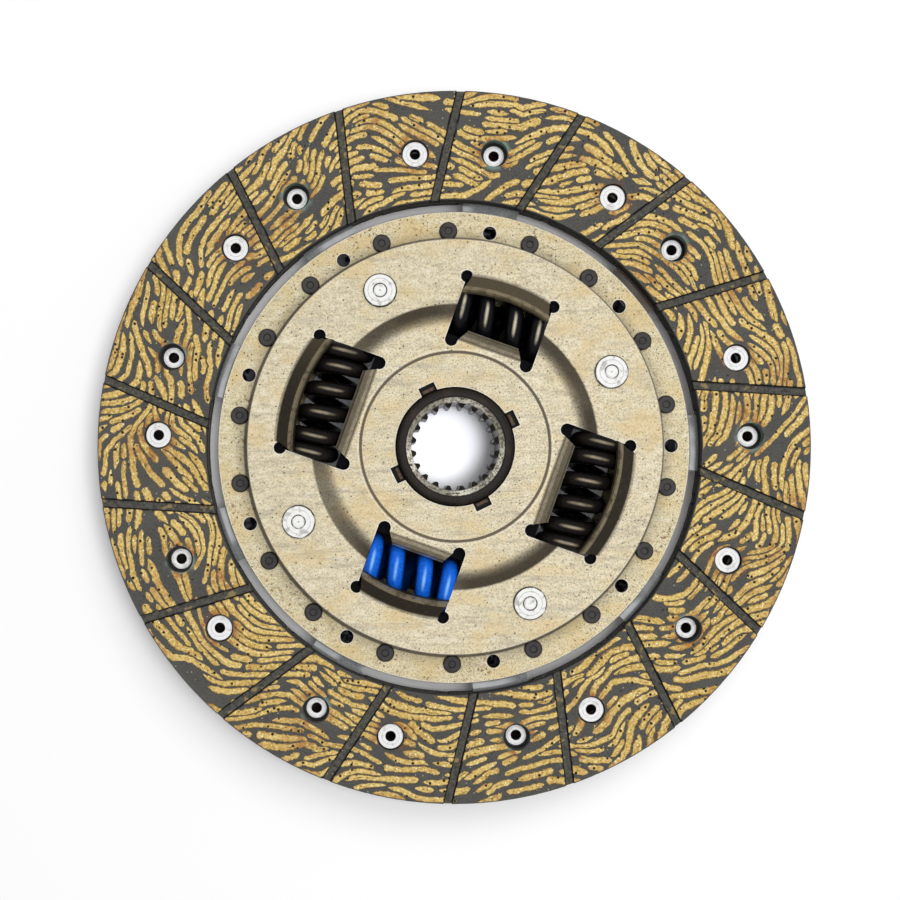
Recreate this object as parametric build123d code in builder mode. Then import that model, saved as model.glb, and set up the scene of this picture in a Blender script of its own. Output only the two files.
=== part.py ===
from build123d import *
import os
from math import asin, atan2, cos, degrees, hypot, radians, sin, sqrt, tan

# Clutch disc with a torsion damper, built as its separate pieces, in millimetres.
#
# The origin is on the hub's axis, midway between the two friction faces. +Z points out of the
# side with the retaining plate, and the disc stands on the rear end of its hub. Angles round the
# disc are clock angles: 0 at +Y and growing clockwise, as seen from +Z.

# Friction facings: two grooved rings, each riveted to every cushion segment.
facing_outside_diameter = 200.0
facing_inside_diameter = 139.0
facing_thickness = 3.4
groove_count = 18
groove_width = 2.4
groove_depth = 0.8
groove_clock = -1.2
groove_skew = 14.6

# Cushion segments: nine thin steel paddles, waved so that the facings are sprung apart.
segment_count = 9
segment_thickness = 0.7
segment_wave = 0.7
paddle_inner_rim = 0.8
paddle_outer_rim = 1.7
paddle_gap = 2.6
paddle_corner = 2.2
root_inner_radius = 55.2
root_outer_radius = 66.0
root_clock = 9.5
root_angle = 30.0
root_corner = 2.0
neck_clock = 8.8
neck_angle = 13.2
neck_fillet = 1.5
crest_half_width = 4.6
wave_ramp = 3.4
wave_bend = 5.0

# Tubular rivets of the facings.
facing_rivet_radius = 83.1
front_rivet_clock = -7.6
rear_rivet_clock = 7.8
facing_rivet_head_diameter = 7.4
facing_rivet_head_height = 0.9
facing_rivet_shank_diameter = 4.2
facing_rivet_hole_diameter = 2.8
facing_rivet_tail_diameter = 5.9
facing_rivet_tail_height = 0.7
facing_rivet_edge = 0.3
counterbore_depth = 2.0
counterbore_diameter = 7.7
clearance_hole_diameter = 7.5

# Disc plate: carries the segments and the rear half of the damper.
plate_thickness = 1.6
disc_plate_diameter = 133.2
disc_plate_bore_diameter = 37.4
locating_hole_radius = 61.3
locating_hole_diameter = 3.8
locating_hole_clock = 9.5

# Solid rivets that hold the segments to the disc plate.
cushion_rivet_radius = 61.0
cushion_rivet_clocks = (-1.5, 20.5)
cushion_rivet_head_diameter = 5.1
cushion_rivet_head_height = 1.2
cushion_rivet_shank_diameter = 3.4
cushion_rivet_tail_height = 1.0
cushion_rivet_edge = 0.5
cushion_rivet_dish_diameter = 2.2
cushion_rivet_dish_depth = 0.3
cushion_rivet_dish_taper = 45

# Retaining plate: the front half of the damper, with a raised middle.
retaining_plate_diameter = 115.2
retaining_plate_bore_diameter = 33.0
boss_foot_radius = 39.6
boss_shoulder_radius = 34.2
boss_height = 1.5
boss_foot_bend = 1.0
boss_shoulder_bend = 7.0
coined_ring_radius = 26.1
coined_ring_depth = 0.2
plate_edge_break = 0.2

# Hub: a splined sleeve with the flange that drives the springs.
hub_front = 14.0
hub_rear = -10.0
hub_diameter = 32.0
hub_edge_chamfer = 0.6
spline_count = 20
spline_major_diameter = 24.2
spline_minor_diameter = 21.7
spline_space_root = 1.7
spline_space_mouth = 2.6
spline_tip_fillet = 0.25
spline_lead_chamfer = 1.8
flange_thickness = 6.0
flange_diameter = 107.0
flange_gap = 0.5
flange_edge_chamfer = 0.5

# Damper springs and their windows: a long pair and a short pair, at right angles.
long_spring_length = 32.8
long_spring_diameter = 15.8
long_spring_wire = 4.4
long_spring_turns = 5.9
long_spring_closed_turns = 1.45
long_spring_radius = 37.5
short_spring_length = 25.2
short_spring_diameter = 15.4
short_spring_wire = 4.9
short_spring_turns = 3.9
short_spring_closed_turns = 0.9
short_spring_radius = 37.1
spring_tip_turns = 0.45
spring_first_bar = 1.7
spring_closed_gap = 0.15
first_spring_clock = 19.6
window_clearance = 0.05
flange_window_clearance = 0.3
flange_window_corner = 0.45
relief_hole_diameter = 3.4
relief_hole_height = 45.5
horn_width = 3.5
horn_bottom = 25.65

# Lanced flaps that keep the springs in: curved outer ones and straight inner ones.
long_outer_flap_root = 49.6
long_outer_flap_tip = 44.7
short_outer_flap_root = 47.6
short_outer_flap_tip = 42.6
outer_flap_root_inset = 1.2
outer_flap_rise = 35.0
outer_flap_bend = 1.6
long_inner_flap_root = 27.4
long_inner_flap_tip = 30.5
short_inner_flap_root = 28.0
short_inner_flap_tip = 30.8
inner_flap_taper = 1.7
inner_flap_rise = 32.0
inner_flap_bend = 1.2
flap_overlap = 1.5

# Stop pins: shouldered rivets that join the plates and limit the damper's travel.
stop_pin_radius = 47.85
stop_pin_clock = 64.4
stop_pin_count = 4
stop_pin_head_diameter = 9.3
stop_pin_head_height = 1.0
stop_pin_shank_diameter = 8.0
stop_pin_tenon_diameter = 6.0
stop_pin_mark_diameter = 3.7
stop_pin_mark_depth = 0.15
stop_pin_mark_width = 0.4
stop_pin_edge = 0.3
damper_travel = 7.0
stop_clearance = 0.8
stop_notch_corner = 2.5

# Friction stack round the hub.
washer_outside_diameter = 52.0
washer_inside_diameter = 34.0
front_washer_thickness = 0.8
thrust_plate_thickness = 0.6
lug_width = 4.0
lug_thickness = 1.1
lug_notch_clearance = 0.35
lug_notch_radius = 18.7
lug_recess = 0.3
cone_spring_thickness = 0.35
cone_spring_inside_diameter = 37.6
cone_spring_outside_diameter = 51.0
bush_running_clearance = 0.05
bush_collar_length = 3.0
bush_seat_clearance = 0.05

rivet_clearance = 0.05

# Heights, all worked out from the thicknesses above.
crest_bottom = (segment_wave - segment_thickness) / 2
trough_bottom = crest_bottom - segment_wave
facing_back = crest_bottom + segment_thickness
facing_face = facing_back + facing_thickness
disc_plate_back = trough_bottom + segment_thickness
disc_plate_front = disc_plate_back + plate_thickness
flange_back = disc_plate_front + flange_gap
flange_front = flange_back + flange_thickness
flange_middle = (flange_back + flange_front) / 2
retaining_plate_back = flange_front + flange_gap
retaining_plate_front = retaining_plate_back + plate_thickness
boss_front = retaining_plate_front + boss_height
boss_back = boss_front - plate_thickness
thrust_plate_back = flange_front + front_washer_thickness
thrust_plate_front = thrust_plate_back + thrust_plate_thickness

# Working lengths: a cut that goes right through, how far shapes run into each other before they
# are joined, and how closely a corner or an edge has to match the place it is looked for.
through_cut = 2 * hub_front
join_overlap = 1.0
corner_tolerance = 0.5
edge_tolerance = 0.01

segment_pitch = 360 / segment_count
paddle_inner_radius = facing_inside_diameter / 2 + paddle_inner_rim
paddle_outer_radius = facing_outside_diameter / 2 - paddle_outer_rim
neck_middle = (paddle_inner_radius + root_outer_radius) / 2
long_spring_clocks = (first_spring_clock + 90, first_spring_clock + 270)
short_spring_clocks = (first_spring_clock, first_spring_clock + 180)
lug_clock = stop_pin_clock
lug_count = stop_pin_count


def clock_plane(clock, height=0.0):
    """Level plane on the axis, with its Y pointing along a clock angle."""
    turned = radians(clock)
    return Plane(origin=(0, 0, height), x_dir=(cos(turned), -sin(turned), 0), z_dir=(0, 0, 1))


def radial_plane(clock):
    """Upright plane through the axis: its X runs outward along a clock angle and its Y is +Z."""
    turned = radians(clock)
    outward = Vector(sin(turned), cos(turned), 0)
    return Plane(origin=(0, 0, 0), x_dir=outward, z_dir=outward.cross(Vector(0, 0, 1)))


def clock_point(radius, clock):
    """Point at a radius and a clock angle, in the plane it is used in."""
    return (radius * sin(radians(clock)), radius * cos(radians(clock)))


def clock_of(vertex):
    """Clock angle of a vertex."""
    return degrees(atan2(vertex.X, vertex.Y))


def radius_of(vertex):
    """Distance of a vertex from the disc's axis."""
    return hypot(vertex.X, vertex.Y)


def ring_places(radius, count, clock):
    """Evenly spaced places on a circle, the first at a clock angle."""
    return PolarLocations(radius, count, start_angle=90 - clock)


def ring_sector(inner_radius, outer_radius, middle_clock, angle):
    """Flat piece of a ring, centred on a clock angle."""
    start = 90 - middle_clock - angle / 2
    with BuildSketch() as sector:
        with BuildLine():
            outer = CenterArc((0, 0), outer_radius, start, angle)
            inner = CenterArc((0, 0), inner_radius, start, angle)
            Line(inner @ 0, outer @ 0)
            Line(inner @ 1, outer @ 1)
        make_face()
    return sector.sketch


def finish(piece, name):
    """Label a piece and write it as its own file."""
    piece.part.label = name
    export_step(piece.part, f"parts/{name}.step")


# --- Friction facings ---------------------------------------------------------------------------


def make_facing(name, side, own_clock, other_clock):
    """Grooved ring; side is +1 for the front one and -1 for the rear one."""
    outward = Plane(origin=(0, 0, side * facing_back), x_dir=(side, 0, 0), z_dir=(0, 0, side))
    face = outward.offset(facing_thickness)
    with BuildPart() as facing:
        with BuildSketch(outward):
            Circle(facing_outside_diameter / 2)
            Circle(facing_inside_diameter / 2, mode=Mode.SUBTRACT)
        extrude(amount=facing_thickness)
        middle_radius = (facing_outside_diameter + facing_inside_diameter) / 4
        with BuildSketch(face):
            with ring_places(middle_radius, groove_count, side * groove_clock):
                Rectangle(facing_outside_diameter, groove_width, rotation=-groove_skew)
            Circle(facing_inside_diameter / 2 - groove_width, mode=Mode.SUBTRACT)
        extrude(amount=-groove_depth, mode=Mode.SUBTRACT)
        with Locations(face):
            with ring_places(facing_rivet_radius, segment_count, side * own_clock):
                CounterBoreHole(
                    facing_rivet_shank_diameter / 2 + rivet_clearance,
                    counterbore_diameter / 2,
                    counterbore_depth,
                )
            with ring_places(facing_rivet_radius, segment_count, side * other_clock):
                Hole(clearance_hole_diameter / 2)
    finish(facing, name)
    return facing


# --- Cushion segments ---------------------------------------------------------------------------


def wave_profile():
    """Underside of a paddle across its width: one crest for each front rivet, troughs between."""
    crest = facing_rivet_radius * sin(radians(front_rivet_clock))
    next_crest = facing_rivet_radius * sin(radians(segment_pitch / 2))
    return (
        (-facing_outside_diameter / 2, trough_bottom),
        (crest - crest_half_width - wave_ramp, trough_bottom),
        (crest - crest_half_width, crest_bottom),
        (crest + crest_half_width, crest_bottom),
        (crest + crest_half_width + wave_ramp, trough_bottom),
        (next_crest - crest_half_width - wave_ramp, trough_bottom),
        (next_crest - crest_half_width, crest_bottom),
        (facing_outside_diameter / 2, crest_bottom),
    )


def segment_outline():
    """Plan of a segment: root, neck and paddle, with rounded corners."""
    middle_clock = (front_rivet_clock + rear_rivet_clock) / 2
    paddle_angle = segment_pitch - paddle_gap
    with BuildSketch() as outline:
        add(ring_sector(root_inner_radius, root_outer_radius, root_clock, root_angle))
        fillet(outline.vertices(), root_corner)
        add(ring_sector(paddle_inner_radius, paddle_outer_radius, middle_clock, paddle_angle))
        paddle_corners = outline.vertices().filter_by(lambda v: radius_of(v) > neck_middle)
        fillet(paddle_corners, paddle_corner)
        neck_foot = root_outer_radius - join_overlap
        neck_top = paddle_inner_radius + join_overlap
        add(ring_sector(neck_foot, neck_top, neck_clock, neck_angle))
        inner_corners = outline.vertices().filter_by(is_neck_corner)
        fillet(inner_corners, neck_fillet)
    return outline.sketch


def is_neck_corner(vertex):
    """Whether a vertex of the outline is where the neck meets the root or the paddle."""
    beside_neck = abs(clock_of(vertex) - neck_clock) < neck_angle / 2 + corner_tolerance
    beyond_root = radius_of(vertex) > root_outer_radius - corner_tolerance
    before_paddle = radius_of(vertex) < paddle_inner_radius + corner_tolerance
    return beside_neck and beyond_root and before_paddle


def make_segment(index):
    """Waved paddle on a flat root; the wave stops at the neck, which lies in a trough."""
    clock = index * segment_pitch
    level = clock_plane(clock)
    across = Plane(level.from_local_coords(Vector(0, neck_middle, 0)), level.x_dir, -level.y_dir)
    with BuildPart() as segment:
        with BuildSketch(across):
            with BuildLine():
                lower = FilletPolyline(*wave_profile(), radius=wave_bend)
                raised = [(x, z + segment_thickness) for x, z in wave_profile()]
                upper = FilletPolyline(*raised, radius=wave_bend)
                Line(lower @ 0, upper @ 0)
                Line(lower @ 1, upper @ 1)
            make_face()
        extrude(amount=neck_middle - facing_outside_diameter / 2)
        with BuildSketch(clock_plane(clock, trough_bottom)):
            with Locations((0, neck_middle / 2)):
                Rectangle(facing_outside_diameter, neck_middle)
        extrude(amount=segment_thickness)
        with BuildSketch(level):
            add(segment_outline())
        extrude(amount=facing_thickness, both=True, mode=Mode.INTERSECT)
        with BuildSketch(level):
            with Locations(
                clock_point(facing_rivet_radius, front_rivet_clock),
                clock_point(facing_rivet_radius, rear_rivet_clock),
            ):
                Circle(facing_rivet_shank_diameter / 2 + rivet_clearance)
            with Locations([clock_point(cushion_rivet_radius, c) for c in cushion_rivet_clocks]):
                Circle(cushion_rivet_shank_diameter / 2 + rivet_clearance)
            with Locations(clock_point(locating_hole_radius, locating_hole_clock)):
                Circle(locating_hole_diameter / 2)
        extrude(amount=facing_thickness, both=True, mode=Mode.SUBTRACT)
    finish(segment, f"cushion_segment_{index + 1}")
    return segment


# --- Damper plates ------------------------------------------------------------------------------


def window(length, outer_root, inner_root):
    """Spring window of a plate, with relief holes outside and horn slots inside."""
    half = length / 2 + window_clearance
    flap_half = length / 2 - outer_flap_root_inset
    arc_end = sqrt(outer_root**2 - flap_half**2)
    horn_top = inner_root + horn_width
    with BuildSketch() as opening:
        with Locations((0, (inner_root + relief_hole_height) / 2)):
            Rectangle(2 * half, relief_hole_height - inner_root)
        with BuildLine():
            Polyline(
                (flap_half, arc_end),
                (flap_half, inner_root),
                (-flap_half, inner_root),
                (-flap_half, arc_end),
            )
            ThreePointArc((-flap_half, arc_end), (0, outer_root), (flap_half, arc_end))
        make_face()
        with Locations((-half, relief_hole_height), (half, relief_hole_height)):
            Circle(relief_hole_diameter / 2)
        horn_middle = (horn_top + horn_bottom) / 2
        with Locations((horn_width / 2 - half, horn_middle), (half - horn_width / 2, horn_middle)):
            SlotOverall(horn_top - horn_bottom, horn_width, rotation=90)
    return opening.sketch


def outer_flap(length, root, tip, clock, plate_middle, side):
    """Awning over a spring, curved with the disc and leaning in from its root."""
    half = length / 2
    root_half = half - outer_flap_root_inset
    tip_height = plate_middle + side * (root - tip) * tan(radians(outer_flap_rise))
    arc = 2 * degrees(asin(half / tip)) + 2 * outer_flap_bend
    with BuildPart() as flap:
        with BuildSketch(radial_plane(clock + arc / 2)):
            with BuildLine():
                FilletPolyline(
                    (root + flap_overlap, plate_middle),
                    (root, plate_middle),
                    (tip, tip_height),
                    radius=outer_flap_bend,
                )
            trace(line_width=plate_thickness)
        revolve(axis=Axis.Z, revolution_arc=arc)
        with BuildSketch(clock_plane(clock)):
            with BuildLine():
                Polyline(
                    (-half, 0),
                    (-half, sqrt(tip**2 - half**2)),
                    (-root_half, relief_hole_height),
                    (-root_half, 2 * root),
                    (root_half, 2 * root),
                    (root_half, relief_hole_height),
                    (half, sqrt(tip**2 - half**2)),
                    (half, 0),
                    close=True,
                )
            make_face()
        extrude(amount=through_cut, both=True, mode=Mode.INTERSECT)
    return flap.part


def inner_flap(length, root, tip, clock, plate_middle, side):
    """Straight flap on the hub's side of a spring, leaning out from its root."""
    root_half = length / 2 - horn_width
    tip_half = root_half - inner_flap_taper
    tip_height = plate_middle + side * (tip - root) * tan(radians(inner_flap_rise))
    with BuildPart() as flap:
        with BuildSketch(radial_plane(clock)):
            with BuildLine():
                FilletPolyline(
                    (root - flap_overlap, plate_middle),
                    (root, plate_middle),
                    (tip, tip_height),
                    radius=inner_flap_bend,
                )
            trace(line_width=plate_thickness)
        extrude(amount=root_half, both=True)
        with BuildSketch(clock_plane(clock)):
            with BuildLine():
                Polyline(
                    (-root_half, 0),
                    (-root_half, root),
                    (-tip_half, tip),
                    (-tip_half, 2 * tip),
                    (tip_half, 2 * tip),
                    (tip_half, tip),
                    (root_half, root),
                    (root_half, 0),
                    close=True,
                )
            make_face()
        extrude(amount=through_cut, both=True, mode=Mode.INTERSECT)
    return flap.part


def window_settings():
    """One entry for each window: clock, spring length and the four flap radii."""
    long_outer = (long_outer_flap_root, long_outer_flap_tip)
    long_inner = (long_inner_flap_root, long_inner_flap_tip)
    short_outer = (short_outer_flap_root, short_outer_flap_tip)
    short_inner = (short_inner_flap_root, short_inner_flap_tip)
    settings = []
    for clock in long_spring_clocks:
        settings.append((clock, long_spring_length, *long_outer, *long_inner))
    for clock in short_spring_clocks:
        settings.append((clock, short_spring_length, *short_outer, *short_inner))
    return settings


def plate_flaps(outer_middle, inner_middle, side):
    """All the flaps of one plate, given the mid-heights of its sheet at their roots."""
    flaps = []
    for clock, length, outer_root, outer_tip, inner_root, inner_tip in window_settings():
        flaps.append(outer_flap(length, outer_root, outer_tip, clock, outer_middle, side))
        flaps.append(inner_flap(length, inner_root, inner_tip, clock, inner_middle, side))
    return flaps


def cut_windows():
    """Cut every spring window through the plate being built."""
    for clock, length, outer_root, _, inner_root, _ in window_settings():
        with BuildSketch(clock_plane(clock)) as opening:
            add(window(length, outer_root, inner_root))
        extrude(opening.sketch, amount=through_cut, both=True, mode=Mode.SUBTRACT)


def cut_holes(radius, count, clock, diameter):
    """Cut a ring of round holes through the plate being built."""
    with BuildSketch(clock_plane(0)) as holes:
        with ring_places(radius, count, clock):
            Circle(diameter / 2)
    extrude(holes.sketch, amount=through_cut, both=True, mode=Mode.SUBTRACT)


def make_disc_plate():
    """Flat rear plate, which carries the cushion segments on its back."""
    middle = (disc_plate_back + disc_plate_front) / 2
    with BuildPart() as plate:
        with BuildSketch(clock_plane(0, disc_plate_back)):
            Circle(disc_plate_diameter / 2)
            Circle(disc_plate_bore_diameter / 2, mode=Mode.SUBTRACT)
        extrude(amount=plate_thickness)
        chamfer(plate.edges().filter_by(GeomType.CIRCLE).sort_by(SortBy.RADIUS)[-2:], plate_edge_break)
        cut_windows()
        cut_holes(locating_hole_radius, segment_count, locating_hole_clock, locating_hole_diameter)
        for clock in cushion_rivet_clocks:
            hole = cushion_rivet_shank_diameter + 2 * rivet_clearance
            cut_holes(cushion_rivet_radius, segment_count, clock, hole)
        tenon_hole = stop_pin_tenon_diameter + 2 * rivet_clearance
        cut_holes(stop_pin_radius, stop_pin_count, stop_pin_clock, tenon_hole)
        add(plate_flaps(middle, middle, -1))
    finish(plate, "disc_plate")
    return plate


def make_retaining_plate():
    """Front plate, pressed up round the hub and notched for the lugs of the thrust plate."""
    rim_middle = (retaining_plate_back + retaining_plate_front) / 2
    boss_middle = (boss_back + boss_front) / 2
    bore_radius = retaining_plate_bore_diameter / 2
    with BuildPart() as plate:
        with BuildSketch(radial_plane(0)):
            with BuildLine():
                FilletPolyline(
                    (bore_radius, boss_middle),
                    (boss_shoulder_radius, boss_middle),
                    (boss_foot_radius, rim_middle),
                    (retaining_plate_diameter / 2, rim_middle),
                    radius=(boss_shoulder_bend, boss_foot_bend),
                )
            trace(line_width=plate_thickness)
        revolve(axis=Axis.Z)
        chamfer(plate.edges().filter_by(GeomType.CIRCLE).sort_by(SortBy.RADIUS)[-2:], plate_edge_break)
        with BuildSketch(clock_plane(0, boss_front)):
            Circle(coined_ring_radius)
        extrude(amount=-coined_ring_depth, mode=Mode.SUBTRACT)
        cut_windows()
        with BuildSketch(clock_plane(0)):
            with ring_places(lug_notch_radius / 2, lug_count, lug_clock):
                Rectangle(lug_notch_radius, lug_width + 2 * lug_notch_clearance)
        extrude(amount=through_cut, both=True, mode=Mode.SUBTRACT)
        tenon_hole = stop_pin_tenon_diameter + 2 * rivet_clearance
        cut_holes(stop_pin_radius, stop_pin_count, stop_pin_clock, tenon_hole)
        add(plate_flaps(rim_middle, boss_middle, 1))
    finish(plate, "retaining_plate")
    return plate


# --- Hub ----------------------------------------------------------------------------------------


def spline_space():
    """Outline of one space between two teeth, pointing along +Y and ending inside the bore."""
    depth = (spline_major_diameter - spline_minor_diameter) / 2
    flare = (spline_space_mouth - spline_space_root) / 2
    with BuildSketch() as space:
        with BuildLine():
            Polyline(
                (-spline_space_mouth / 2 - flare, spline_minor_diameter / 2 - depth),
                (-spline_space_root / 2, spline_major_diameter / 2),
                (spline_space_root / 2, spline_major_diameter / 2),
                (spline_space_mouth / 2 + flare, spline_minor_diameter / 2 - depth),
                close=True,
            )
        make_face()
    return space.sketch


def spline_outline():
    """Bore of the hub: the circle inside the teeth with every space added, tips rounded."""
    space = spline_space()
    with BuildSketch() as bore:
        Circle(spline_minor_diameter / 2)
        with PolarLocations(0, spline_count):
            add(space)
        tip_reach = spline_minor_diameter / 2 + edge_tolerance
        tips = bore.vertices().filter_by(lambda v: radius_of(v) < tip_reach)
        fillet(tips, spline_tip_fillet)
    return bore.sketch


def cut_flange_windows(clocks, length, diameter, radius):
    """Cut the openings for one pair of springs through the hub's flange."""
    for clock in clocks:
        with BuildSketch(clock_plane(clock)) as opening:
            with Locations((0, radius)):
                Rectangle(length + 2 * window_clearance, diameter + 2 * flange_window_clearance)
            fillet(opening.vertices(), flange_window_corner)
        extrude(opening.sketch, amount=through_cut, both=True, mode=Mode.SUBTRACT)


def make_hub():
    """Splined sleeve and flange in one piece; the flange has spring windows and stop notches."""
    flange_radius = flange_diameter / 2
    notch_floor = stop_pin_radius - stop_pin_shank_diameter / 2 - stop_clearance
    reach = stop_pin_shank_diameter / 2 + stop_clearance
    notch_angle = 2 * (damper_travel + degrees(asin(reach / stop_pin_radius)))
    with BuildPart() as hub:
        with BuildSketch(clock_plane(0, hub_rear)):
            Circle(hub_diameter / 2)
        extrude(amount=hub_front - hub_rear)
        chamfer(hub.edges().filter_by(GeomType.CIRCLE), hub_edge_chamfer)
        with BuildSketch(clock_plane(0, flange_back)):
            Circle(flange_radius)
        extrude(amount=flange_thickness)
        rim = hub.edges().filter_by(GeomType.CIRCLE).sort_by(SortBy.RADIUS)[-2:]
        chamfer(rim, flange_edge_chamfer)
        for clock in range(stop_pin_count):
            pin_clock = stop_pin_clock + clock * 360 / stop_pin_count
            with BuildSketch(clock_plane(0)) as notch:
                add(ring_sector(notch_floor, flange_radius + join_overlap, pin_clock, notch_angle))
                floor_corners = notch.vertices().group_by(lambda v: round(radius_of(v), 3))[0]
                fillet(floor_corners, stop_notch_corner)
            extrude(amount=through_cut, both=True, mode=Mode.SUBTRACT)
        cut_flange_windows(
            long_spring_clocks, long_spring_length, long_spring_diameter, long_spring_radius
        )
        cut_flange_windows(
            short_spring_clocks, short_spring_length, short_spring_diameter, short_spring_radius
        )
        with BuildSketch(clock_plane(0)):
            add(spline_outline())
        extrude(amount=through_cut, both=True, mode=Mode.SUBTRACT)
        lead = spline_major_diameter / 2 + spline_lead_chamfer
        for end, inward in ((hub_front, -1), (hub_rear, 1)):
            with BuildSketch(radial_plane(0)):
                with BuildLine():
                    Polyline((0, end), (lead, end), (0, end + inward * lead), close=True)
                make_face()
            revolve(axis=Axis.Z, mode=Mode.SUBTRACT)
    finish(hub, "hub")
    return hub


# --- Damper springs -----------------------------------------------------------------------------


def coil(length, diameter, wire, turns, closed_turns):
    """Coil spring along Z about its middle, with closed, ground ends whose tips lie at the rear."""
    mean_radius = (diameter - wire) / 2
    closed_pitch = wire + spring_closed_gap
    start = spring_first_bar - spring_tip_turns * closed_pitch
    open_turns = turns - 2 * closed_turns
    open_pitch = (length - 2 * start - 2 * closed_turns * closed_pitch) / open_turns
    closed = (closed_turns, closed_pitch)
    height = start - length / 2
    turned = -360 * spring_tip_turns
    with BuildPart() as spring:
        for stretch, pitch in (closed, (open_turns, open_pitch), closed):
            helix = Helix(pitch, pitch * stretch, mean_radius, (0, 0, height), mode=Mode.PRIVATE)
            outward = Vector(cos(radians(turned)), sin(radians(turned)), 0)
            start_point = outward * mean_radius + Vector(0, 0, height)
            with BuildSketch(Plane(start_point, outward, outward.cross(Vector(0, 0, 1)))):
                Circle(wire / 2)
            sweep(path=helix.rotate(Axis.Z, turned), is_frenet=True)
            height += pitch * stretch
            turned += 360 * stretch
        with BuildSketch():
            Circle(diameter)
        extrude(amount=length / 2, both=True, mode=Mode.INTERSECT)
    return spring.part


def make_spring(name, clock, pitch_radius, spring_coil):
    """Coil spring in its window; both wire tips lie on the rear side."""
    turned = radians(clock)
    outward = Vector(sin(turned), cos(turned), 0)
    along = Vector(cos(turned), -sin(turned), 0)
    middle = outward * pitch_radius + Vector(0, 0, flange_middle)
    with BuildPart() as spring:
        with Locations(Plane(middle, x_dir=(0, 0, 1), z_dir=along)):
            add(spring_coil)
    finish(spring, name)
    return spring


# --- Rivets and stop pins -----------------------------------------------------------------------


def add_discs(places, height, diameter, thickness):
    """Add a disc at each place to the piece being built; a negative thickness goes down."""
    with BuildSketch(clock_plane(0, height)) as discs:
        with places:
            Circle(diameter / 2)
    extrude(discs.sketch, amount=thickness)


def edges_at(piece, height, diameter):
    """The round edges of a piece that lie at a height and have a diameter."""
    circles = piece.edges().filter_by(GeomType.CIRCLE)
    level = circles.filter_by_position(Axis.Z, height - edge_tolerance, height + edge_tolerance)
    return level.filter_by(lambda e: abs(2 * e.radius - diameter) < edge_tolerance)


def make_facing_rivets(name, side, clock):
    """Tubular rivets of one facing: a rolled head in its counterbore, a tail behind the segment."""
    head_seat = side * (facing_face - counterbore_depth)
    head_top = head_seat + side * facing_rivet_head_height
    crest_back = side * crest_bottom
    tail_end = crest_back - side * facing_rivet_tail_height
    with BuildPart() as rivets:
        add_discs(
            ring_places(facing_rivet_radius, segment_count, clock),
            head_seat,
            facing_rivet_head_diameter,
            head_top - head_seat,
        )
        add_discs(
            ring_places(facing_rivet_radius, segment_count, clock),
            head_seat,
            facing_rivet_shank_diameter,
            crest_back - head_seat,
        )
        add_discs(
            ring_places(facing_rivet_radius, segment_count, clock),
            crest_back,
            facing_rivet_tail_diameter,
            tail_end - crest_back,
        )
        fillet(edges_at(rivets, head_top, facing_rivet_head_diameter), facing_rivet_edge)
        fillet(edges_at(rivets, tail_end, facing_rivet_tail_diameter), facing_rivet_edge)
        with BuildSketch(clock_plane(0)):
            with ring_places(facing_rivet_radius, segment_count, clock):
                Circle(facing_rivet_hole_diameter / 2)
        extrude(amount=2 * facing_face, both=True, mode=Mode.SUBTRACT)
        rim = edges_at(rivets, head_top, facing_rivet_hole_diameter)
        rim += edges_at(rivets, tail_end, facing_rivet_hole_diameter)
        fillet(rim, facing_rivet_edge)
    finish(rivets, name)
    return rivets


def make_cushion_rivets():
    """Solid rivets with a dished head, two for each segment."""
    head_top = disc_plate_front + cushion_rivet_head_height
    tail_end = trough_bottom - cushion_rivet_tail_height
    with BuildPart() as rivets:
        for clock in cushion_rivet_clocks:
            places = ring_places(cushion_rivet_radius, segment_count, clock)
            add_discs(places, disc_plate_front, cushion_rivet_head_diameter, cushion_rivet_head_height)
            places = ring_places(cushion_rivet_radius, segment_count, clock)
            add_discs(places, tail_end, cushion_rivet_shank_diameter, disc_plate_front - tail_end)
            places = ring_places(cushion_rivet_radius, segment_count, clock)
            add_discs(places, trough_bottom, cushion_rivet_head_diameter, -cushion_rivet_tail_height)
        fillet(edges_at(rivets, head_top, cushion_rivet_head_diameter), cushion_rivet_edge)
        fillet(edges_at(rivets, tail_end, cushion_rivet_head_diameter), cushion_rivet_edge)
        for clock in cushion_rivet_clocks:
            with BuildSketch(clock_plane(0, head_top)):
                with ring_places(cushion_rivet_radius, segment_count, clock):
                    Circle(cushion_rivet_dish_diameter / 2)
            extrude(amount=-cushion_rivet_dish_depth, taper=cushion_rivet_dish_taper, mode=Mode.SUBTRACT)
    finish(rivets, "cushion_rivets")
    return rivets


def make_stop_pins():
    """Shouldered pins: a spacer between the plates, a tenon through each and a riveted head."""
    front_top = retaining_plate_front + stop_pin_head_height
    rear_end = disc_plate_back - stop_pin_head_height
    with BuildPart() as pins:
        stack = (
            (disc_plate_front, stop_pin_shank_diameter, retaining_plate_back - disc_plate_front),
            (rear_end, stop_pin_tenon_diameter, front_top - rear_end),
            (retaining_plate_front, stop_pin_head_diameter, stop_pin_head_height),
            (rear_end, stop_pin_head_diameter, stop_pin_head_height),
        )
        for height, diameter, thickness in stack:
            places = ring_places(stop_pin_radius, stop_pin_count, stop_pin_clock)
            add_discs(places, height, diameter, thickness)
        fillet(edges_at(pins, front_top, stop_pin_head_diameter), stop_pin_edge)
        fillet(edges_at(pins, rear_end, stop_pin_head_diameter), stop_pin_edge)
        for end, inward in ((front_top, -1), (rear_end, 1)):
            with BuildSketch(clock_plane(0, end)):
                with ring_places(stop_pin_radius, stop_pin_count, stop_pin_clock):
                    Circle(stop_pin_mark_diameter / 2)
                    Circle(stop_pin_mark_diameter / 2 - stop_pin_mark_width, mode=Mode.SUBTRACT)
            extrude(amount=inward * stop_pin_mark_depth, mode=Mode.SUBTRACT)
    finish(pins, "stop_pins")
    return pins


# --- Friction stack -----------------------------------------------------------------------------


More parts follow.
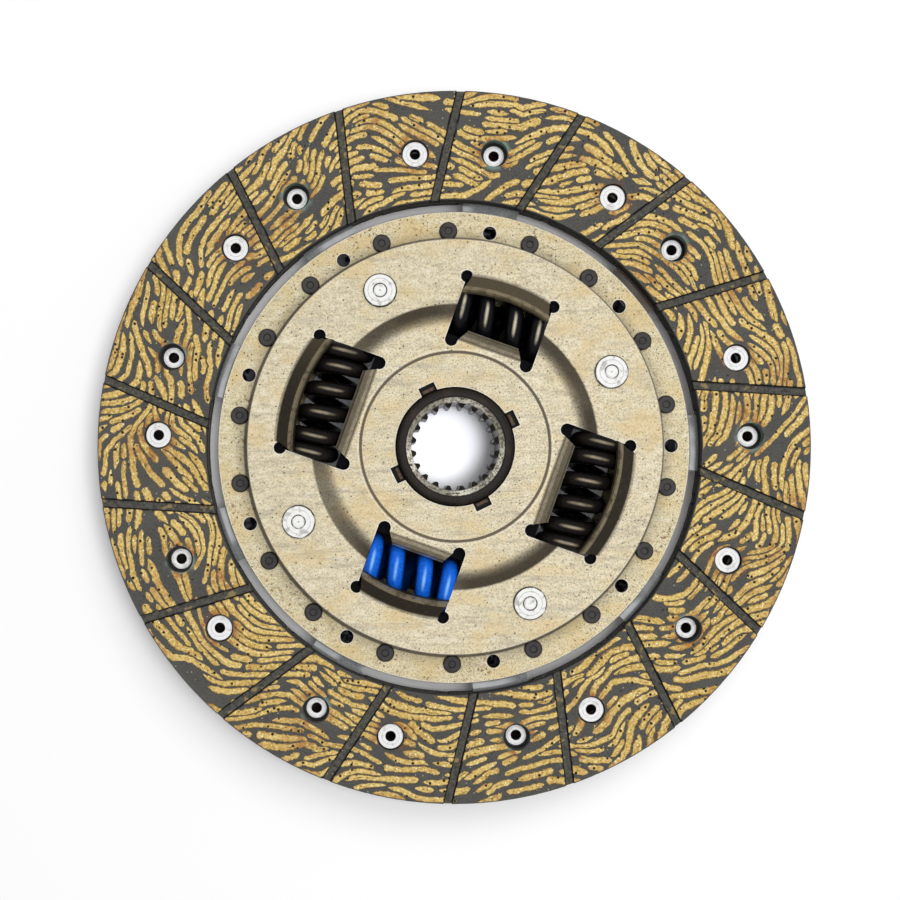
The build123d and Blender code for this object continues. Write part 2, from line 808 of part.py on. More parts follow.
def make_washer(name, inside_diameter, outside_diameter, height, thickness):
    """Flat ring."""
    with BuildPart() as washer:
        with BuildSketch(clock_plane(0, height)):
            Circle(outside_diameter / 2)
            Circle(inside_diameter / 2, mode=Mode.SUBTRACT)
        extrude(amount=thickness)
    finish(washer, name)
    return washer


def make_thrust_plate():
    """Washer with four lugs turned up through the notches of the retaining plate."""
    inner_radius = retaining_plate_bore_diameter / 2
    lug_top = boss_front - coined_ring_depth - lug_recess
    with BuildPart() as thrust_plate:
        with BuildSketch(clock_plane(0, thrust_plate_back)):
            Circle(washer_outside_diameter / 2)
            Circle(inner_radius, mode=Mode.SUBTRACT)
        extrude(amount=thrust_plate_thickness)
        with BuildSketch(clock_plane(0, thrust_plate_back)):
            with ring_places(inner_radius + lug_thickness / 2, lug_count, lug_clock):
                Rectangle(lug_thickness, lug_width)
            Circle(inner_radius, mode=Mode.SUBTRACT)
        extrude(amount=lug_top - thrust_plate_back)
    finish(thrust_plate, "lugged_thrust_plate")
    return thrust_plate


def make_cone_spring():
    """Dished washer that presses the thrust plate onto the flange."""
    inner = cone_spring_inside_diameter / 2
    outer = cone_spring_outside_diameter / 2
    with BuildPart() as cone_spring:
        with BuildSketch(radial_plane(0)):
            with BuildLine():
                Polyline(
                    (inner, thrust_plate_front),
                    (outer, boss_back - cone_spring_thickness),
                    (outer, boss_back),
                    (inner, thrust_plate_front + cone_spring_thickness),
                    close=True,
                )
            make_face()
        revolve(axis=Axis.Z)
    finish(cone_spring, "cone_spring_washer")
    return cone_spring


def make_bush():
    """Rear friction washer with a collar that centres the disc plate on the hub."""
    inner_radius = hub_diameter / 2 + bush_running_clearance
    collar_radius = disc_plate_bore_diameter / 2 - bush_seat_clearance
    with BuildPart() as bush:
        with BuildSketch(clock_plane(0, disc_plate_front - bush_collar_length)):
            Circle(collar_radius)
        extrude(amount=bush_collar_length)
        with BuildSketch(clock_plane(0, disc_plate_front)):
            Circle(washer_outside_diameter / 2)
        extrude(amount=flange_gap)
        with BuildSketch(clock_plane(0)):
            Circle(inner_radius)
        extrude(amount=through_cut, both=True, mode=Mode.SUBTRACT)
    finish(bush, "rear_friction_bush")
    return bush


# --- The whole disc -----------------------------------------------------------------------------

os.makedirs("parts", exist_ok=True)

make_facing("facing_front", 1, front_rivet_clock, rear_rivet_clock)
make_facing("facing_rear", -1, rear_rivet_clock, front_rivet_clock)
for segment_index in range(segment_count):
    make_segment(segment_index)
make_disc_plate()
make_retaining_plate()
make_hub()
long_coil = coil(
    long_spring_length,
    long_spring_diameter,
    long_spring_wire,
    long_spring_turns,
    long_spring_closed_turns,
)
short_coil = coil(
    short_spring_length,
    short_spring_diameter,
    short_spring_wire,
    short_spring_turns,
    short_spring_closed_turns,
)
for number, spring_clock in enumerate(long_spring_clocks, start=1):
    make_spring(f"damper_spring_long_{number}", spring_clock, long_spring_radius, long_coil)
for number, spring_clock in enumerate(short_spring_clocks, start=1):
    make_spring(f"damper_spring_short_{number}", spring_clock, short_spring_radius, short_coil)
make_facing_rivets("facing_rivets_front", 1, front_rivet_clock)
make_facing_rivets("facing_rivets_rear", -1, rear_rivet_clock)
make_cushion_rivets()
make_stop_pins()
make_washer(
    "front_friction_washer",
    washer_inside_diameter,
    washer_outside_diameter,
    flange_front,
    front_washer_thickness,
)
make_thrust_plate()
make_cone_spring()
make_bush()
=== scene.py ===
"""Looks of the clutch disc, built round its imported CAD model.

Constants are in millimetres and degrees unless a comment says otherwise; Blender works in metres.
"""
import math
import random

import bpy
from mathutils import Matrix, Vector, noise

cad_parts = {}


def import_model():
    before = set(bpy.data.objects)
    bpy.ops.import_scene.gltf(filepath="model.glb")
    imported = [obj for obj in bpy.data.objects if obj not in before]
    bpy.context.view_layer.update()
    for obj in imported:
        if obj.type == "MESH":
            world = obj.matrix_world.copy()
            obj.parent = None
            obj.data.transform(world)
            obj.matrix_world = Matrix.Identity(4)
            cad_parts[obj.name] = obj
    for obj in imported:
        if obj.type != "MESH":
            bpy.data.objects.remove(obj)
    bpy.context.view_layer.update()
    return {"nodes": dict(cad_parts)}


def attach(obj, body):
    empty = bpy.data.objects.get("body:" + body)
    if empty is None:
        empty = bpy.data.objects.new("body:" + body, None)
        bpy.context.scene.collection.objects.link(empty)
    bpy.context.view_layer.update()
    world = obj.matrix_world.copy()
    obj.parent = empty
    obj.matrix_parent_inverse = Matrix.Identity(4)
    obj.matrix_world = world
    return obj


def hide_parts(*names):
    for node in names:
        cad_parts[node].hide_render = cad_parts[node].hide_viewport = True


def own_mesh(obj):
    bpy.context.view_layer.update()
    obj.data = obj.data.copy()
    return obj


MM = 0.001

# The disc, as in the CAD source, in millimetres and clock degrees.
# The keys 1 and -1 stand for the front and the rear face.
FACING_OUT, FACING_IN, FACING_TOP = 100.0, 69.5, 4.1
GROOVES, GROOVE_HALF, GROOVE_CLOCK, GROOVE_SKEW = 18, 1.2, 1.2, 14.6
GROOVE_RADIUS = 84.75
RIVETS, RIVET_RADIUS = 9, 83.1
HEAD_CLOCK = {1: -7.6, -1: -7.8}
TAIL_CLOCK = {1: 7.8, -1: 7.6}
HEAD_HOLE, TAIL_HOLE = 3.85, 3.75
CUSHION_RIVET_RADIUS, CUSHION_RIVET_CLOCKS = 61.0, (-1.5, 20.5)
LOCATING_RADIUS, LOCATING_CLOCK = 61.3, 9.5
CUSHION_SEGMENTS, DARK_SEGMENT = 9, 2
STOP_PINS, STOP_PIN_RADIUS, STOP_PIN_CLOCK = 4, 47.85, 64.4
COINED_RING, BOSS_SHOULDER, BOSS_FOOT, RETAINING_OUT = 26.1, 34.2, 39.6, 57.6
LUG_TIP, LUG_ROOT, LUG_HALF = 18.4, 16.5, 2.0
SPLINE_MOUTH, LEAD_RIM, HUB_FLANGE = 12.0, 13.65, 17.0

# The springs: radius of their middle, length, outside diameter, wire, turns, closed turns at an end.
LONG_SPRING = (37.5, 32.8, 15.8, 4.4, 5.9, 1.45)
SHORT_SPRING = (37.1, 25.2, 15.4, 4.9, 3.9, 0.9)
LONG_CLOCKS, SHORT_CLOCKS = (109.6, 289.6), (19.6, 199.6)
SPRING_HEIGHT = 5.1
SPRING_CLOSED_GAP = 0.15
SPRING_FIRST_BAR = 1.7
SPRING_TIP_TURNS = 0.45
COIL_STEPS, COIL_SIDES = 40, 24

# The yarn that shows on each face, in millimetres.
YARN_SEED = {1: 41, -1: 97}
YARN_STARTS, START_MARGIN, START_ROOM = 16000, 0.6, (1.5, 1.75, 2.0)
BALD = 0.20
YARN_STEP, YARN_GRID = 0.45, 0.25
STRAND_LENGTHS, SHORTEST_ROWS = (6.0, 10.0, 14.0, 18.0, 24.0, 32.0), 6
STRAND_ROOM = (0.75, 1.0, 1.25)
WIDEST_HALF, YARN_REACH, YARN_GAP = (0.75, 1.35), 2.8, 0.02
TAPERS = (0.5, 0.7, 1.0, 2.4)
YARN_MARGIN, RIM_MARGIN, CUT_REACH = 0.12, 0.3, 2.0
RUSTY_PATCHES, NEAR_HOLES = 26, 24
LIFTS, LIFT_STEP = 24, 0.003

# Across a strand: share of its half width, height, and one at an edge.
CROSS_SECTION = ((-1.0, -0.03, 1.0), (-0.55, 0.04, 0.0), (0.55, 0.04, 0.0), (1.0, -0.03, 1.0))

# Dark rings on the heads: radius, how dark, and half width.
# In each, the ring of largest radius is painted shade round the head's edge; the others are turned
# lines, or a dark dot at radius 0.
FACING_RINGS = ((2.4, 0.25, 0.05), (3.7, 1.0, 0.2))
PIN_RINGS = ((0.0, 0.8, 0.12), (1.85, 1.0, 0.10), (3.3, 0.35, 0.05), (4.6, 1.0, 0.22))
CUSHION_RINGS = ((2.45, 1.0, 0.28), (1.2, 0.5, 0.05))

# The picture: camera and floor in millimetres, focal length and centre in pixels of the frame.
FLOOR_HEIGHT, FLOOR_HALF, FLOOR_GAP = -10.0, 3000.0, 0.05
CAMERA_HEIGHT = 400.0
CAMERA_OFFSET = (-15.0, -10.0)
FOCAL_PX = 1412.4
FRAME_PX = 900.0
CENTRE_PX = (454.2, 447.4)
SENSOR_MM = 36.0
WORLD_LOW = (0.22, 0.215, 0.22)
WORLD_HIGH = (1.0, 1.0, 1.0)
WORLD_EDGE = (0.86, 0.94)

# Heights in metres: where a finish, a painted shade or a painted highlight starts, and where it is
# whole.
FRONT_PLATE = (0.0085, 0.0095)
UNDER_FRONT_PLATE = (0.0087, 0.0083)
ABOVE_DISC_REAR = (0.0, 0.002)
OUTER_FLAP, OUTER_LIP = (0.01035, 0.01075), (0.01275, 0.01290)
INNER_FLAP, INNER_LIP = (0.0118, 0.0120), (0.0126, 0.0128)
HUB_LEAD = (0.0082, 0.0088)
SPRING_SHADE = (0.0116, 0.0068)
FLAP_ROOT_MM = 12.05

# Spring wire: colour, painted highlight on the crest, roughness, how far it is rubbed, and the rubbed
# colour.
BRONZE_WIRE = ((0.008, 0.0065, 0.0055), (0.34, 0.285, 0.19), 0.30, 0.2, (0.02, 0.014, 0.010))
BLACK_WIRE = ((0.005, 0.005, 0.007), (0.62, 0.56, 0.40), 0.28, 0.2, (0.02, 0.015, 0.012))
BLUE_WIRE = ((0.006, 0.13, 0.72), (0.22, 0.52, 0.95), 0.34, 0.15, (0.01, 0.05, 0.30))

# Tones of stains, of oil specks whose black also serves as painted shade, and of the painted highlight
# on cut edges.
OIL_AND_SHADE_BLACK = (0.010, 0.009, 0.008)
PLATE_SPECK = (0.05, 0.035, 0.02)
PLATE_STAIN = (0.22, 0.11, 0.035)
EDGE_HIGHLIGHT = (1.0, 0.98, 0.90)


def clock_xy(radius, clock):
    """Point at a radius and a clock angle, both as the disc is seen."""
    turned = math.radians(clock)
    return radius * math.sin(turned), radius * math.cos(turned)


def scaled(colour, factors):
    """A colour times one factor, or times one for each channel, at most 1."""
    if isinstance(factors, float):
        factors = (factors,) * 3
    return tuple(min(1.0, channel * factor) for channel, factor in zip(colour, factors))


# --- Materials ----------------------------------------------------------------------------------


class Finish:
    """A material and short names for the nodes that the finishes share."""

    def __init__(self, name, **values):
        self.material = bpy.data.materials.new(name)
        self.material.use_nodes = True
        self.tree = self.material.node_tree
        self.shader = self.tree.nodes["Principled BSDF"]
        for key, value in values.items():
            self.shader.inputs[key.replace("_", " ")].default_value = value
        self.place = self.node("ShaderNodeTexCoord").outputs["Object"]

    def node(self, kind, **settings):
        made = self.tree.nodes.new(kind)
        for key, value in settings.items():
            setattr(made, key, value)
        return made

    def feed(self, socket, value):
        if isinstance(value, bpy.types.NodeSocket):
            self.tree.links.new(value, socket)
        elif isinstance(value, (tuple, list)) and len(value) == 3 and socket.type == "RGBA":
            socket.default_value = (*value, 1.0)
        else:
            socket.default_value = value

    def math(self, operation, first, second=0.0, clamp=False):
        made = self.node("ShaderNodeMath", operation=operation, use_clamp=clamp)
        self.feed(made.inputs[0], first)
        self.feed(made.inputs[1], second)
        return made.outputs[0]

    def stretch(self, factors, place=None):
        made = self.node("ShaderNodeVectorMath", operation="MULTIPLY")
        self.feed(made.inputs[0], place or self.place)
        made.inputs[1].default_value = factors
        return made.outputs[0]

    def noise(self, size_mm, detail=3.0, roughness=0.6, factors=None):
        made = self.node("ShaderNodeTexNoise")
        self.feed(made.inputs["Vector"], self.stretch(factors) if factors else self.place)
        made.inputs["Scale"].default_value = 1000.0 / size_mm
        made.inputs["Detail"].default_value = detail
        made.inputs["Roughness"].default_value = roughness
        return made.outputs["Fac"]

    def cells(self, size_mm, output):
        made = self.node("ShaderNodeTexVoronoi")
        self.feed(made.inputs["Vector"], self.place)
        made.inputs["Scale"].default_value = 1000.0 / size_mm
        return made.outputs[output]

    def band(self, value, low, high, to_low=0.0, to_high=1.0):
        made = self.node("ShaderNodeMapRange", interpolation_type="SMOOTHSTEP")
        for index, part in enumerate((value, low, high, to_low, to_high)):
            self.feed(made.inputs[index], part)
        return made.outputs[0]

    def mix(self, share, first, second):
        made = self.node("ShaderNodeMix", data_type="RGBA")
        self.feed(made.inputs[0], share)
        self.feed(made.inputs[6], first)
        self.feed(made.inputs[7], second)
        return made.outputs[2]

    def both(self, first, second):
        """One where both values are one."""
        return self.math("MULTIPLY", first, second)

    def tint(self, colour, share, tone, depth=None):
        """Lay a tone over a colour where share is one, at most to the depth."""
        return self.mix(share if depth is None else self.both(share, depth), colour, tone)

    def parts(self, place=None):
        made = self.node("ShaderNodeSeparateXYZ")
        self.feed(made.inputs[0], place or self.place)
        return made.outputs

    def radius_mm(self):
        flat = self.node("ShaderNodeVectorMath", operation="LENGTH")
        self.feed(flat.inputs[0], self.stretch((1000.0, 1000.0, 0.0)))
        return flat.outputs["Value"]

    def specks(self, size_mm, share, radius):
        """Round specks: one in some of the cells of a pattern."""
        near = self.band(self.cells(size_mm, "Distance"), radius, radius * 0.6)
        picked = self.node("ShaderNodeSeparateColor")
        self.feed(picked.inputs[0], self.cells(size_mm, "Color"))
        return self.math("MULTIPLY", near, self.math("LESS_THAN", picked.outputs[0], share))

    def folded(self, side, count, clock):
        """Place in the nearest of equal sectors: across and outward from its middle line, in mm."""
        x, y, _ = self.parts()
        angle = self.math("ARCTAN2", self.math("MULTIPLY", x, float(side)), y)
        pitch = math.tau / count
        moved = self.math("ADD", angle, pitch / 2 - math.radians(clock) + 20 * pitch)
        local = self.math("SUBTRACT", self.math("MODULO", moved, pitch), pitch / 2)
        radius = self.radius_mm()
        across = self.math("MULTIPLY", radius, self.math("SINE", local))
        outward = self.math("MULTIPLY", radius, self.math("COSINE", local))
        return across, outward

    def from_axis(self, count, clock, radius):
        """Distance from the nearest of a circle of equal spots, as seen from the front, in mm."""
        across, outward = self.folded(1, count, clock)
        return self.from_point(across, outward, radius)

    def line(self, value, middle, half, soft=0.12):
        """One where a value lies within half of the middle, fading over the soft width."""
        away = self.math("ABSOLUTE", self.math("SUBTRACT", value, middle))
        return self.band(away, half + soft, half)

    def facing(self):
        """How far the surface faces up or down, from 0 to 1."""
        normal = self.node("ShaderNodeNewGeometry").outputs["Normal"]
        return self.math("ABSOLUTE", self.parts(normal)[2])

    def rim(self, width_mm):
        """One along the cut edges of a sheet."""
        rounded = self.node("ShaderNodeBevel", samples=6)
        rounded.inputs["Radius"].default_value = width_mm * MM
        plain = self.node("ShaderNodeNewGeometry").outputs["True Normal"]
        agree = self.node("ShaderNodeVectorMath", operation="DOT_PRODUCT")
        self.feed(agree.inputs[0], rounded.outputs[0])
        self.feed(agree.inputs[1], plain)
        return self.band(agree.outputs["Value"], 0.998, 0.965)

    def from_point(self, across, outward, radius):
        """Distance from a point on the sector's middle line, in mm."""
        rise = self.math("SUBTRACT", outward, radius)
        squares = self.math("ADD", self.math("POWER", across, 2.0), self.math("POWER", rise, 2.0))
        return self.math("SQRT", squares)

    def colour(self, value):
        self.feed(self.shader.inputs["Base Color"], value)

    def rough(self, value):
        self.feed(self.shader.inputs["Roughness"], value)

    def bump(self, height, strength, depth_mm):
        made = self.node("ShaderNodeBump")
        made.inputs["Strength"].default_value = strength
        made.inputs["Distance"].default_value = depth_mm * MM
        self.feed(made.inputs["Height"], height)
        self.feed(self.shader.inputs["Normal"], made.outputs[0])


def groove_distance(finish, side):
    """Distance from the nearest groove's middle line, in mm."""
    across, outward = finish.folded(side, GROOVES, -GROOVE_CLOCK * side)
    rise = finish.math("SUBTRACT", outward, GROOVE_RADIUS)
    skew = math.radians(GROOVE_SKEW)
    along = finish.math("MULTIPLY", across, math.cos(skew))
    offset = finish.math("SUBTRACT", along, finish.math("MULTIPLY", rise, math.sin(skew)))
    return finish.math("ABSOLUTE", offset)


def rivet_distances(finish, side):
    """Distance from the nearest rivet head and from the nearest rivet tail of a face, in mm."""
    found = []
    for clock in (HEAD_CLOCK[side], TAIL_CLOCK[side]):
        across, outward = finish.folded(side, RIVETS, clock)
        found.append(finish.from_point(across, outward, RIVET_RADIUS))
    return found


def lining(side):
    """Dark moulded friction material with milled grooves, stained round the rivets, with painted shade
    along the groove edges.
    """
    made = Finish(f"lining_{'front' if side > 0 else 'rear'}", Roughness=0.72, Metallic=0.0)
    grain = made.noise(0.45, 5.0, 0.75)
    cloud = made.noise(9.0, 3.0, 0.6)
    base = made.mix(made.band(grain, 0.3, 0.7), (0.046, 0.046, 0.042), (0.112, 0.111, 0.104))
    base = made.tint(base, made.band(cloud, 0.4, 0.7, 0.0, 0.35), (0.13, 0.12, 0.095))
    base = made.tint(base, made.specks(1.1, 0.16, 0.22), (0.40, 0.37, 0.27))
    base = made.tint(base, made.specks(1.5, 0.16, 0.20), OIL_AND_SHADE_BLACK)
    distance = groove_distance(made, side)
    inside = made.band(distance, GROOVE_HALF + 0.05, GROOVE_HALF - 0.15)
    base = made.tint(base, inside, groove_floor(made))
    # Painted shade: near-black lines along both edges of each groove, broken in places.
    edge = made.line(distance, GROOVE_HALF, 0.14, 0.24)
    broken = made.band(made.noise(4.0, 4.0), 0.28, 0.45)
    base = made.tint(base, made.both(edge, broken), (0.005, 0.005, 0.005))
    head, tail = rivet_distances(made, side)
    rust = made.both(made.band(head, 7.0, 3.9), made.band(made.noise(5.0, 4.0), 0.5, 0.66))
    base = made.tint(base, rust, (0.24, 0.085, 0.02), 0.6)
    verdigris = made.both(made.band(tail, 5.2, 3.7), made.band(made.noise(7.0, 2.0), 0.42, 0.6))
    base = made.tint(base, verdigris, (0.22, 0.32, 0.26), 0.8)
    made.colour(base)
    made.bump(made.math("ADD", grain, made.noise(0.18, 2.0)), 0.35, 0.08)
    return made.material


def groove_floor(made):
    """Milled groove floors: darker than the face, with yarn cut through and pale flecks."""
    ground = made.noise(1.1, 4.0, 0.8)
    floor = made.mix(made.band(ground, 0.32, 0.62), (0.030, 0.030, 0.028), (0.105, 0.100, 0.085))
    pale = made.band(made.noise(0.8, 3.0, 0.8), 0.60, 0.72)
    flecked = made.both(pale, made.band(made.noise(13.0, 2.0), 0.50, 0.62))
    floor = made.tint(floor, flecked, (0.52, 0.50, 0.40))
    return made.tint(floor, made.band(made.noise(3.6, 2.0), 0.60, 0.66), (0.34, 0.25, 0.10), 0.75)


def yarn(side):
    """Brass-cored yarn ground flush with the face: gold, speckled, pitted and rusted in places, with
    painted shade at strand edges.
    """
    made = Finish(f"brass_yarn_{'front' if side > 0 else 'rear'}", Roughness=0.6, Metallic=0.0)
    strand = made.node("ShaderNodeAttribute", attribute_name="strand").outputs["Vector"]
    tone, stain, edge = made.parts(strand)
    run = made.node("ShaderNodeAttribute", attribute_name="run").outputs["Vector"]
    crease = made.node("ShaderNodeTexNoise")
    made.feed(crease.inputs["Vector"], made.stretch((0.25, 2.2, 1.0), run))
    crease.inputs["Scale"].default_value = 1.0
    crease.inputs["Detail"].default_value = 3.0
    fibre = made.noise(0.85, 4.0, 0.85)
    gold = made.mix(tone, (0.56, 0.35, 0.075), (0.76, 0.54, 0.17))
    gold = made.tint(gold, made.band(fibre, 0.48, 0.62, 0.0, 0.85), (0.93, 0.80, 0.36))
    gold = made.tint(gold, made.band(fibre, 0.47, 0.34, 0.0, 0.85), (0.30, 0.165, 0.035))
    gold = made.tint(gold, made.specks(0.9, 0.22, 0.30), (0.96, 0.91, 0.68))
    rusted = made.both(stain, made.band(made.noise(2.2, 4.0), 0.36, 0.58))
    gold = made.tint(gold, rusted, (0.34, 0.11, 0.018), 0.95)
    dark_line = made.band(crease.outputs["Fac"], 0.39, 0.32)
    gold = made.tint(gold, dark_line, (0.055, 0.036, 0.016), 0.85)
    # Painted shade towards each strand's edges: orange-brown, then near-black in ragged patches at the
    # very edge.
    ragged_shade = made.band(made.noise(0.7), 0.30, 0.58, 0.25, 1.0)
    gold = made.tint(gold, made.band(edge, 0.05, 0.75, 0.0, 0.55), (0.40, 0.21, 0.045))
    gold = made.tint(gold, made.both(made.band(edge, 0.25, 0.9), ragged_shade), (0.085, 0.055, 0.022))
    gold = made.tint(gold, made.specks(1.7, 0.50, 0.30), (0.010, 0.006, 0.004))
    gold = made.tint(gold, made.specks(1.1, 0.30, 0.22), (0.05, 0.026, 0.010))
    made.colour(gold)
    made.bump(fibre, 0.6, 0.15)
    return made.material


def flap_colour(made, colour, radius, height):
    """Lanced flaps over the springs in painted shade: outer ones dark with a painted highlight on the
    free edge, inner ones tan with dark lines.
    """
    grain = made.noise(0.7, 3.0, 0.6, (0.5, 0.5, 1.0))
    # Painted shade on the outer flaps: dark, and lighter on the flaps towards +Y.
    up = made.band(made.parts()[1], 0.015, 0.040)
    shade = made.mix(up, (0.058, 0.047, 0.032), (0.165, 0.135, 0.082))
    shade = made.tint(shade, made.band(grain, 0.5, 0.75, 0.0, 0.35), (0.15, 0.12, 0.075))
    past_foot = made.band(radius, BOSS_FOOT, BOSS_FOOT + 0.3)
    outer = made.both(made.band(height, *OUTER_FLAP), past_foot)
    colour = made.tint(colour, outer, shade)
    # Painted highlight: a broken light line along the outer flaps' free edge.
    highlight_line = made.both(made.band(height, *OUTER_LIP), outer)
    broken = made.band(made.noise(2.2, 3.0), 0.34, 0.52, 0.35, 0.95)
    colour = made.tint(colour, made.both(highlight_line, broken), (0.42, 0.35, 0.22))
    # Painted shade on the inner flaps: the zinc shown as a duller tan, with darker lines at the bend
    # of the root and at the free edge.
    tan = made.mix(made.band(grain, 0.35, 0.65), (0.48, 0.41, 0.28), (0.66, 0.58, 0.42))
    root = made.line(made.math("MULTIPLY", height, 1000.0), FLAP_ROOT_MM, 0.06, 0.10)
    tan = made.tint(tan, root, (0.07, 0.055, 0.03), 0.55)
    tan = made.tint(tan, made.band(height, *INNER_LIP), (0.12, 0.10, 0.06), 0.6)
    within_boss = made.band(radius, BOSS_SHOULDER, BOSS_SHOULDER - 0.4)
    return made.tint(colour, made.both(made.band(height, *INNER_FLAP), within_boss), tan)


def rolled_zinc(made, base, streak, specks, blotch, rust, grain, rolled):
    """The plating's own colour: grain, mottle, rolling streaks, tarnish, specks and stains."""
    dark = scaled(base, 0.42)
    mottle = made.noise(1.5, 4.0, 0.75, (0.5, 1.0, 1.0))
    wide = made.noise(1.9, 3.0, 0.6, (0.08, 1.0, 1.0))
    cloud = made.noise(9.0, 4.0, 0.6, (0.6, 1.0, 1.0))
    colour = made.mix(made.band(grain, 0.35, 0.65), scaled(base, 0.66), scaled(base, 1.28))
    colour = made.tint(colour, made.band(mottle, 0.47, 0.32, 0.0, 0.46), dark)
    colour = made.tint(colour, made.band(mottle, 0.53, 0.66, 0.0, 0.6), (0.97, 0.92, 0.76))
    colour = made.tint(colour, made.band(rolled, 0.42, 0.30, 0.0, 0.60 * streak), dark)
    grey = tuple(0.5 * c + 0.5 * k for c, k in zip(dark, (0.33, 0.34, 0.34)))
    colour = made.tint(colour, made.band(wide, 0.53, 0.68, 0.0, 0.38 * streak), grey)
    tarnish = scaled(base, (0.98, 0.82, 0.52))
    colour = made.tint(colour, made.band(cloud, 0.46, 0.66, 0.0, blotch), tarnish)
    colour = made.tint(colour, made.specks(1.1, specks * 1.6, 0.24), PLATE_SPECK)
    patchy = made.band(made.noise(16.0), 0.48, 0.60)
    stained = made.both(made.band(made.noise(1.3, 4.0), 0.56, 0.64), patchy)
    return made.tint(colour, stained, PLATE_STAIN, rust)


def plate_lines(made, colour, radius, height):
    """Painted shade and highlights: the coined ring's lines, the retaining plate's rim, its shadow on
    the disc plate, and the boss slope.
    """
    front = made.band(height, *FRONT_PLATE)
    below = made.both(made.band(height, *UNDER_FRONT_PLATE), made.band(height, *ABOVE_DISC_REAR))
    # Painted shade and highlight at the coined step: a dark line, with a light line just outside it.
    ring = made.both(made.line(radius, COINED_RING - 0.05, 0.30, 0.2), front)
    colour = made.tint(colour, ring, (0.085, 0.062, 0.035), 0.9)
    highlight_line = made.both(made.line(radius, COINED_RING + 0.75, 0.06, 0.15), front)
    colour = made.tint(colour, highlight_line, (1.0, 0.97, 0.86), 0.45)
    # Painted shadow of the retaining plate on the disc plate, just outside its rim.
    step = made.band(radius, RETAINING_OUT + 5.5, RETAINING_OUT + 0.6, 0.0, 0.52)
    step = made.both(step, made.band(made.noise(22.0, 2.0), 0.35, 0.6, 0.55, 1.0))
    colour = made.tint(colour, made.both(step, below), (0.10, 0.085, 0.055))
    # Painted shade: a dark line on the retaining plate's rim, and one in the gap just outside it on
    # the disc plate.
    edge = made.both(made.line(radius, RETAINING_OUT - 0.05, 0.22, 0.12), front)
    colour = made.tint(colour, edge, (0.06, 0.048, 0.03), 0.75)
    dark_line = made.both(made.line(radius, RETAINING_OUT + 1.1, 0.35, 0.45), below)
    colour = made.tint(colour, dark_line, (0.03, 0.022, 0.014), 0.9)
    # Painted shade on the sloped ring of the boss.
    rising = made.band(radius, BOSS_SHOULDER - 1.2, BOSS_FOOT - 2.2)
    slope = made.both(rising, made.band(radius, BOSS_FOOT, BOSS_FOOT - 0.4))
    slope = made.both(slope, made.band(made.noise(30.0, 2.0), 0.3, 0.6, 0.55, 0.95))
    return made.tint(colour, made.both(slope, front), (0.085, 0.068, 0.046))


def zinc(name, base, streak=1.0, specks=0.10, blotch=0.5, rust=0.15):
    """Zinc-plated sheet with painted highlights on its cut edges, painted shade and highlights at its
    steps, and painted shade on its flaps.
    """
    made = Finish(name, Metallic=0.65)
    grain = made.noise(0.5, 4.0, 0.8)
    rolled = made.noise(0.38, 3.0, 0.7, (0.035, 1.0, 1.0))
    radius = made.radius_mm()
    height = made.parts()[2]
    colour = rolled_zinc(made, base, streak, specks, blotch, rust, grain, rolled)
    # Painted highlight: a light line along every cut edge.
    colour = made.tint(colour, made.rim(0.5), EDGE_HIGHLIGHT, 0.75)
    colour = plate_lines(made, colour, radius, height)
    made.colour(flap_colour(made, colour, radius, height))
    made.rough(made.band(grain, 0.3, 0.7, 0.25, 0.38))
    made.bump(made.math("ADD", rolled, made.math("MULTIPLY", grain, 0.8)), 0.35, 0.04)
    return made.material


def head_metal(name, base, spots, rings, stain=0.5):
    """Rivet or pin heads. A spot is the count, clock and radius of a circle of heads.

    A ring is the radius, depth and half width of a dark ring on each head: a turned line, a dot, or
    painted shade round the edge.
    """
    made = Finish(name, Metallic=0.25, Roughness=0.42)
    grain = made.noise(0.6, 4.0, 0.7)
    colour = made.mix(made.band(grain, 0.30, 0.55), scaled(base, 0.86), base)
    distance = made.from_axis(*spots[0])
    for spot in spots[1:]:
        distance = made.math("MINIMUM", distance, made.from_axis(*spot))
    worn = made.band(made.noise(2.2, 4.0), 0.52, 0.66, 0.0, stain)
    colour = made.tint(colour, worn, scaled(base, (0.46, 0.44, 0.40)))
    broken = made.band(made.noise(2.6, 2.0), 0.32, 0.50, 0.35, 1.0)
    for radius, depth, half in rings:
        mark = made.both(made.line(distance, radius, half, 0.14), broken)
        colour = made.tint(colour, mark, (0.05, 0.045, 0.035), depth)
    # Painted shade: surfaces that face sideways, such as the heads' edges, are darkened.
    colour = made.tint(colour, made.band(made.facing(), 0.80, 0.45), (0.012, 0.011, 0.010))
    made.colour(colour)
    made.bump(grain, 0.25, 0.05)
    return made.material


def lug_steel():
    """Thrust plate whose lugs show through the retaining plate: rusty inside, with black painted shade
    at the tips, sides and root.
    """
    made = Finish("thrust_steel", Metallic=0.3, Roughness=0.5)
    across, outward = made.folded(1, STOP_PINS, STOP_PIN_CLOCK)
    grain = made.noise(0.6, 4.0, 0.7)
    colour = made.mix(made.band(grain, 0.3, 0.7), (0.06, 0.034, 0.024), (0.19, 0.115, 0.075))
    # Painted shade: black along each lug's tip, sides and root.
    tip = made.band(outward, LUG_TIP - 1.1, LUG_TIP - 0.7)
    side = made.band(made.math("ABSOLUTE", across), LUG_HALF - 0.55, LUG_HALF - 0.3)
    dark = made.math("MAXIMUM", tip, side)
    dark = made.math("MAXIMUM", dark, made.band(outward, LUG_ROOT + 0.4, LUG_ROOT))
    made.colour(made.tint(colour, dark, OIL_AND_SHADE_BLACK))
    made.bump(grain, 0.3, 0.05)
    return made.material


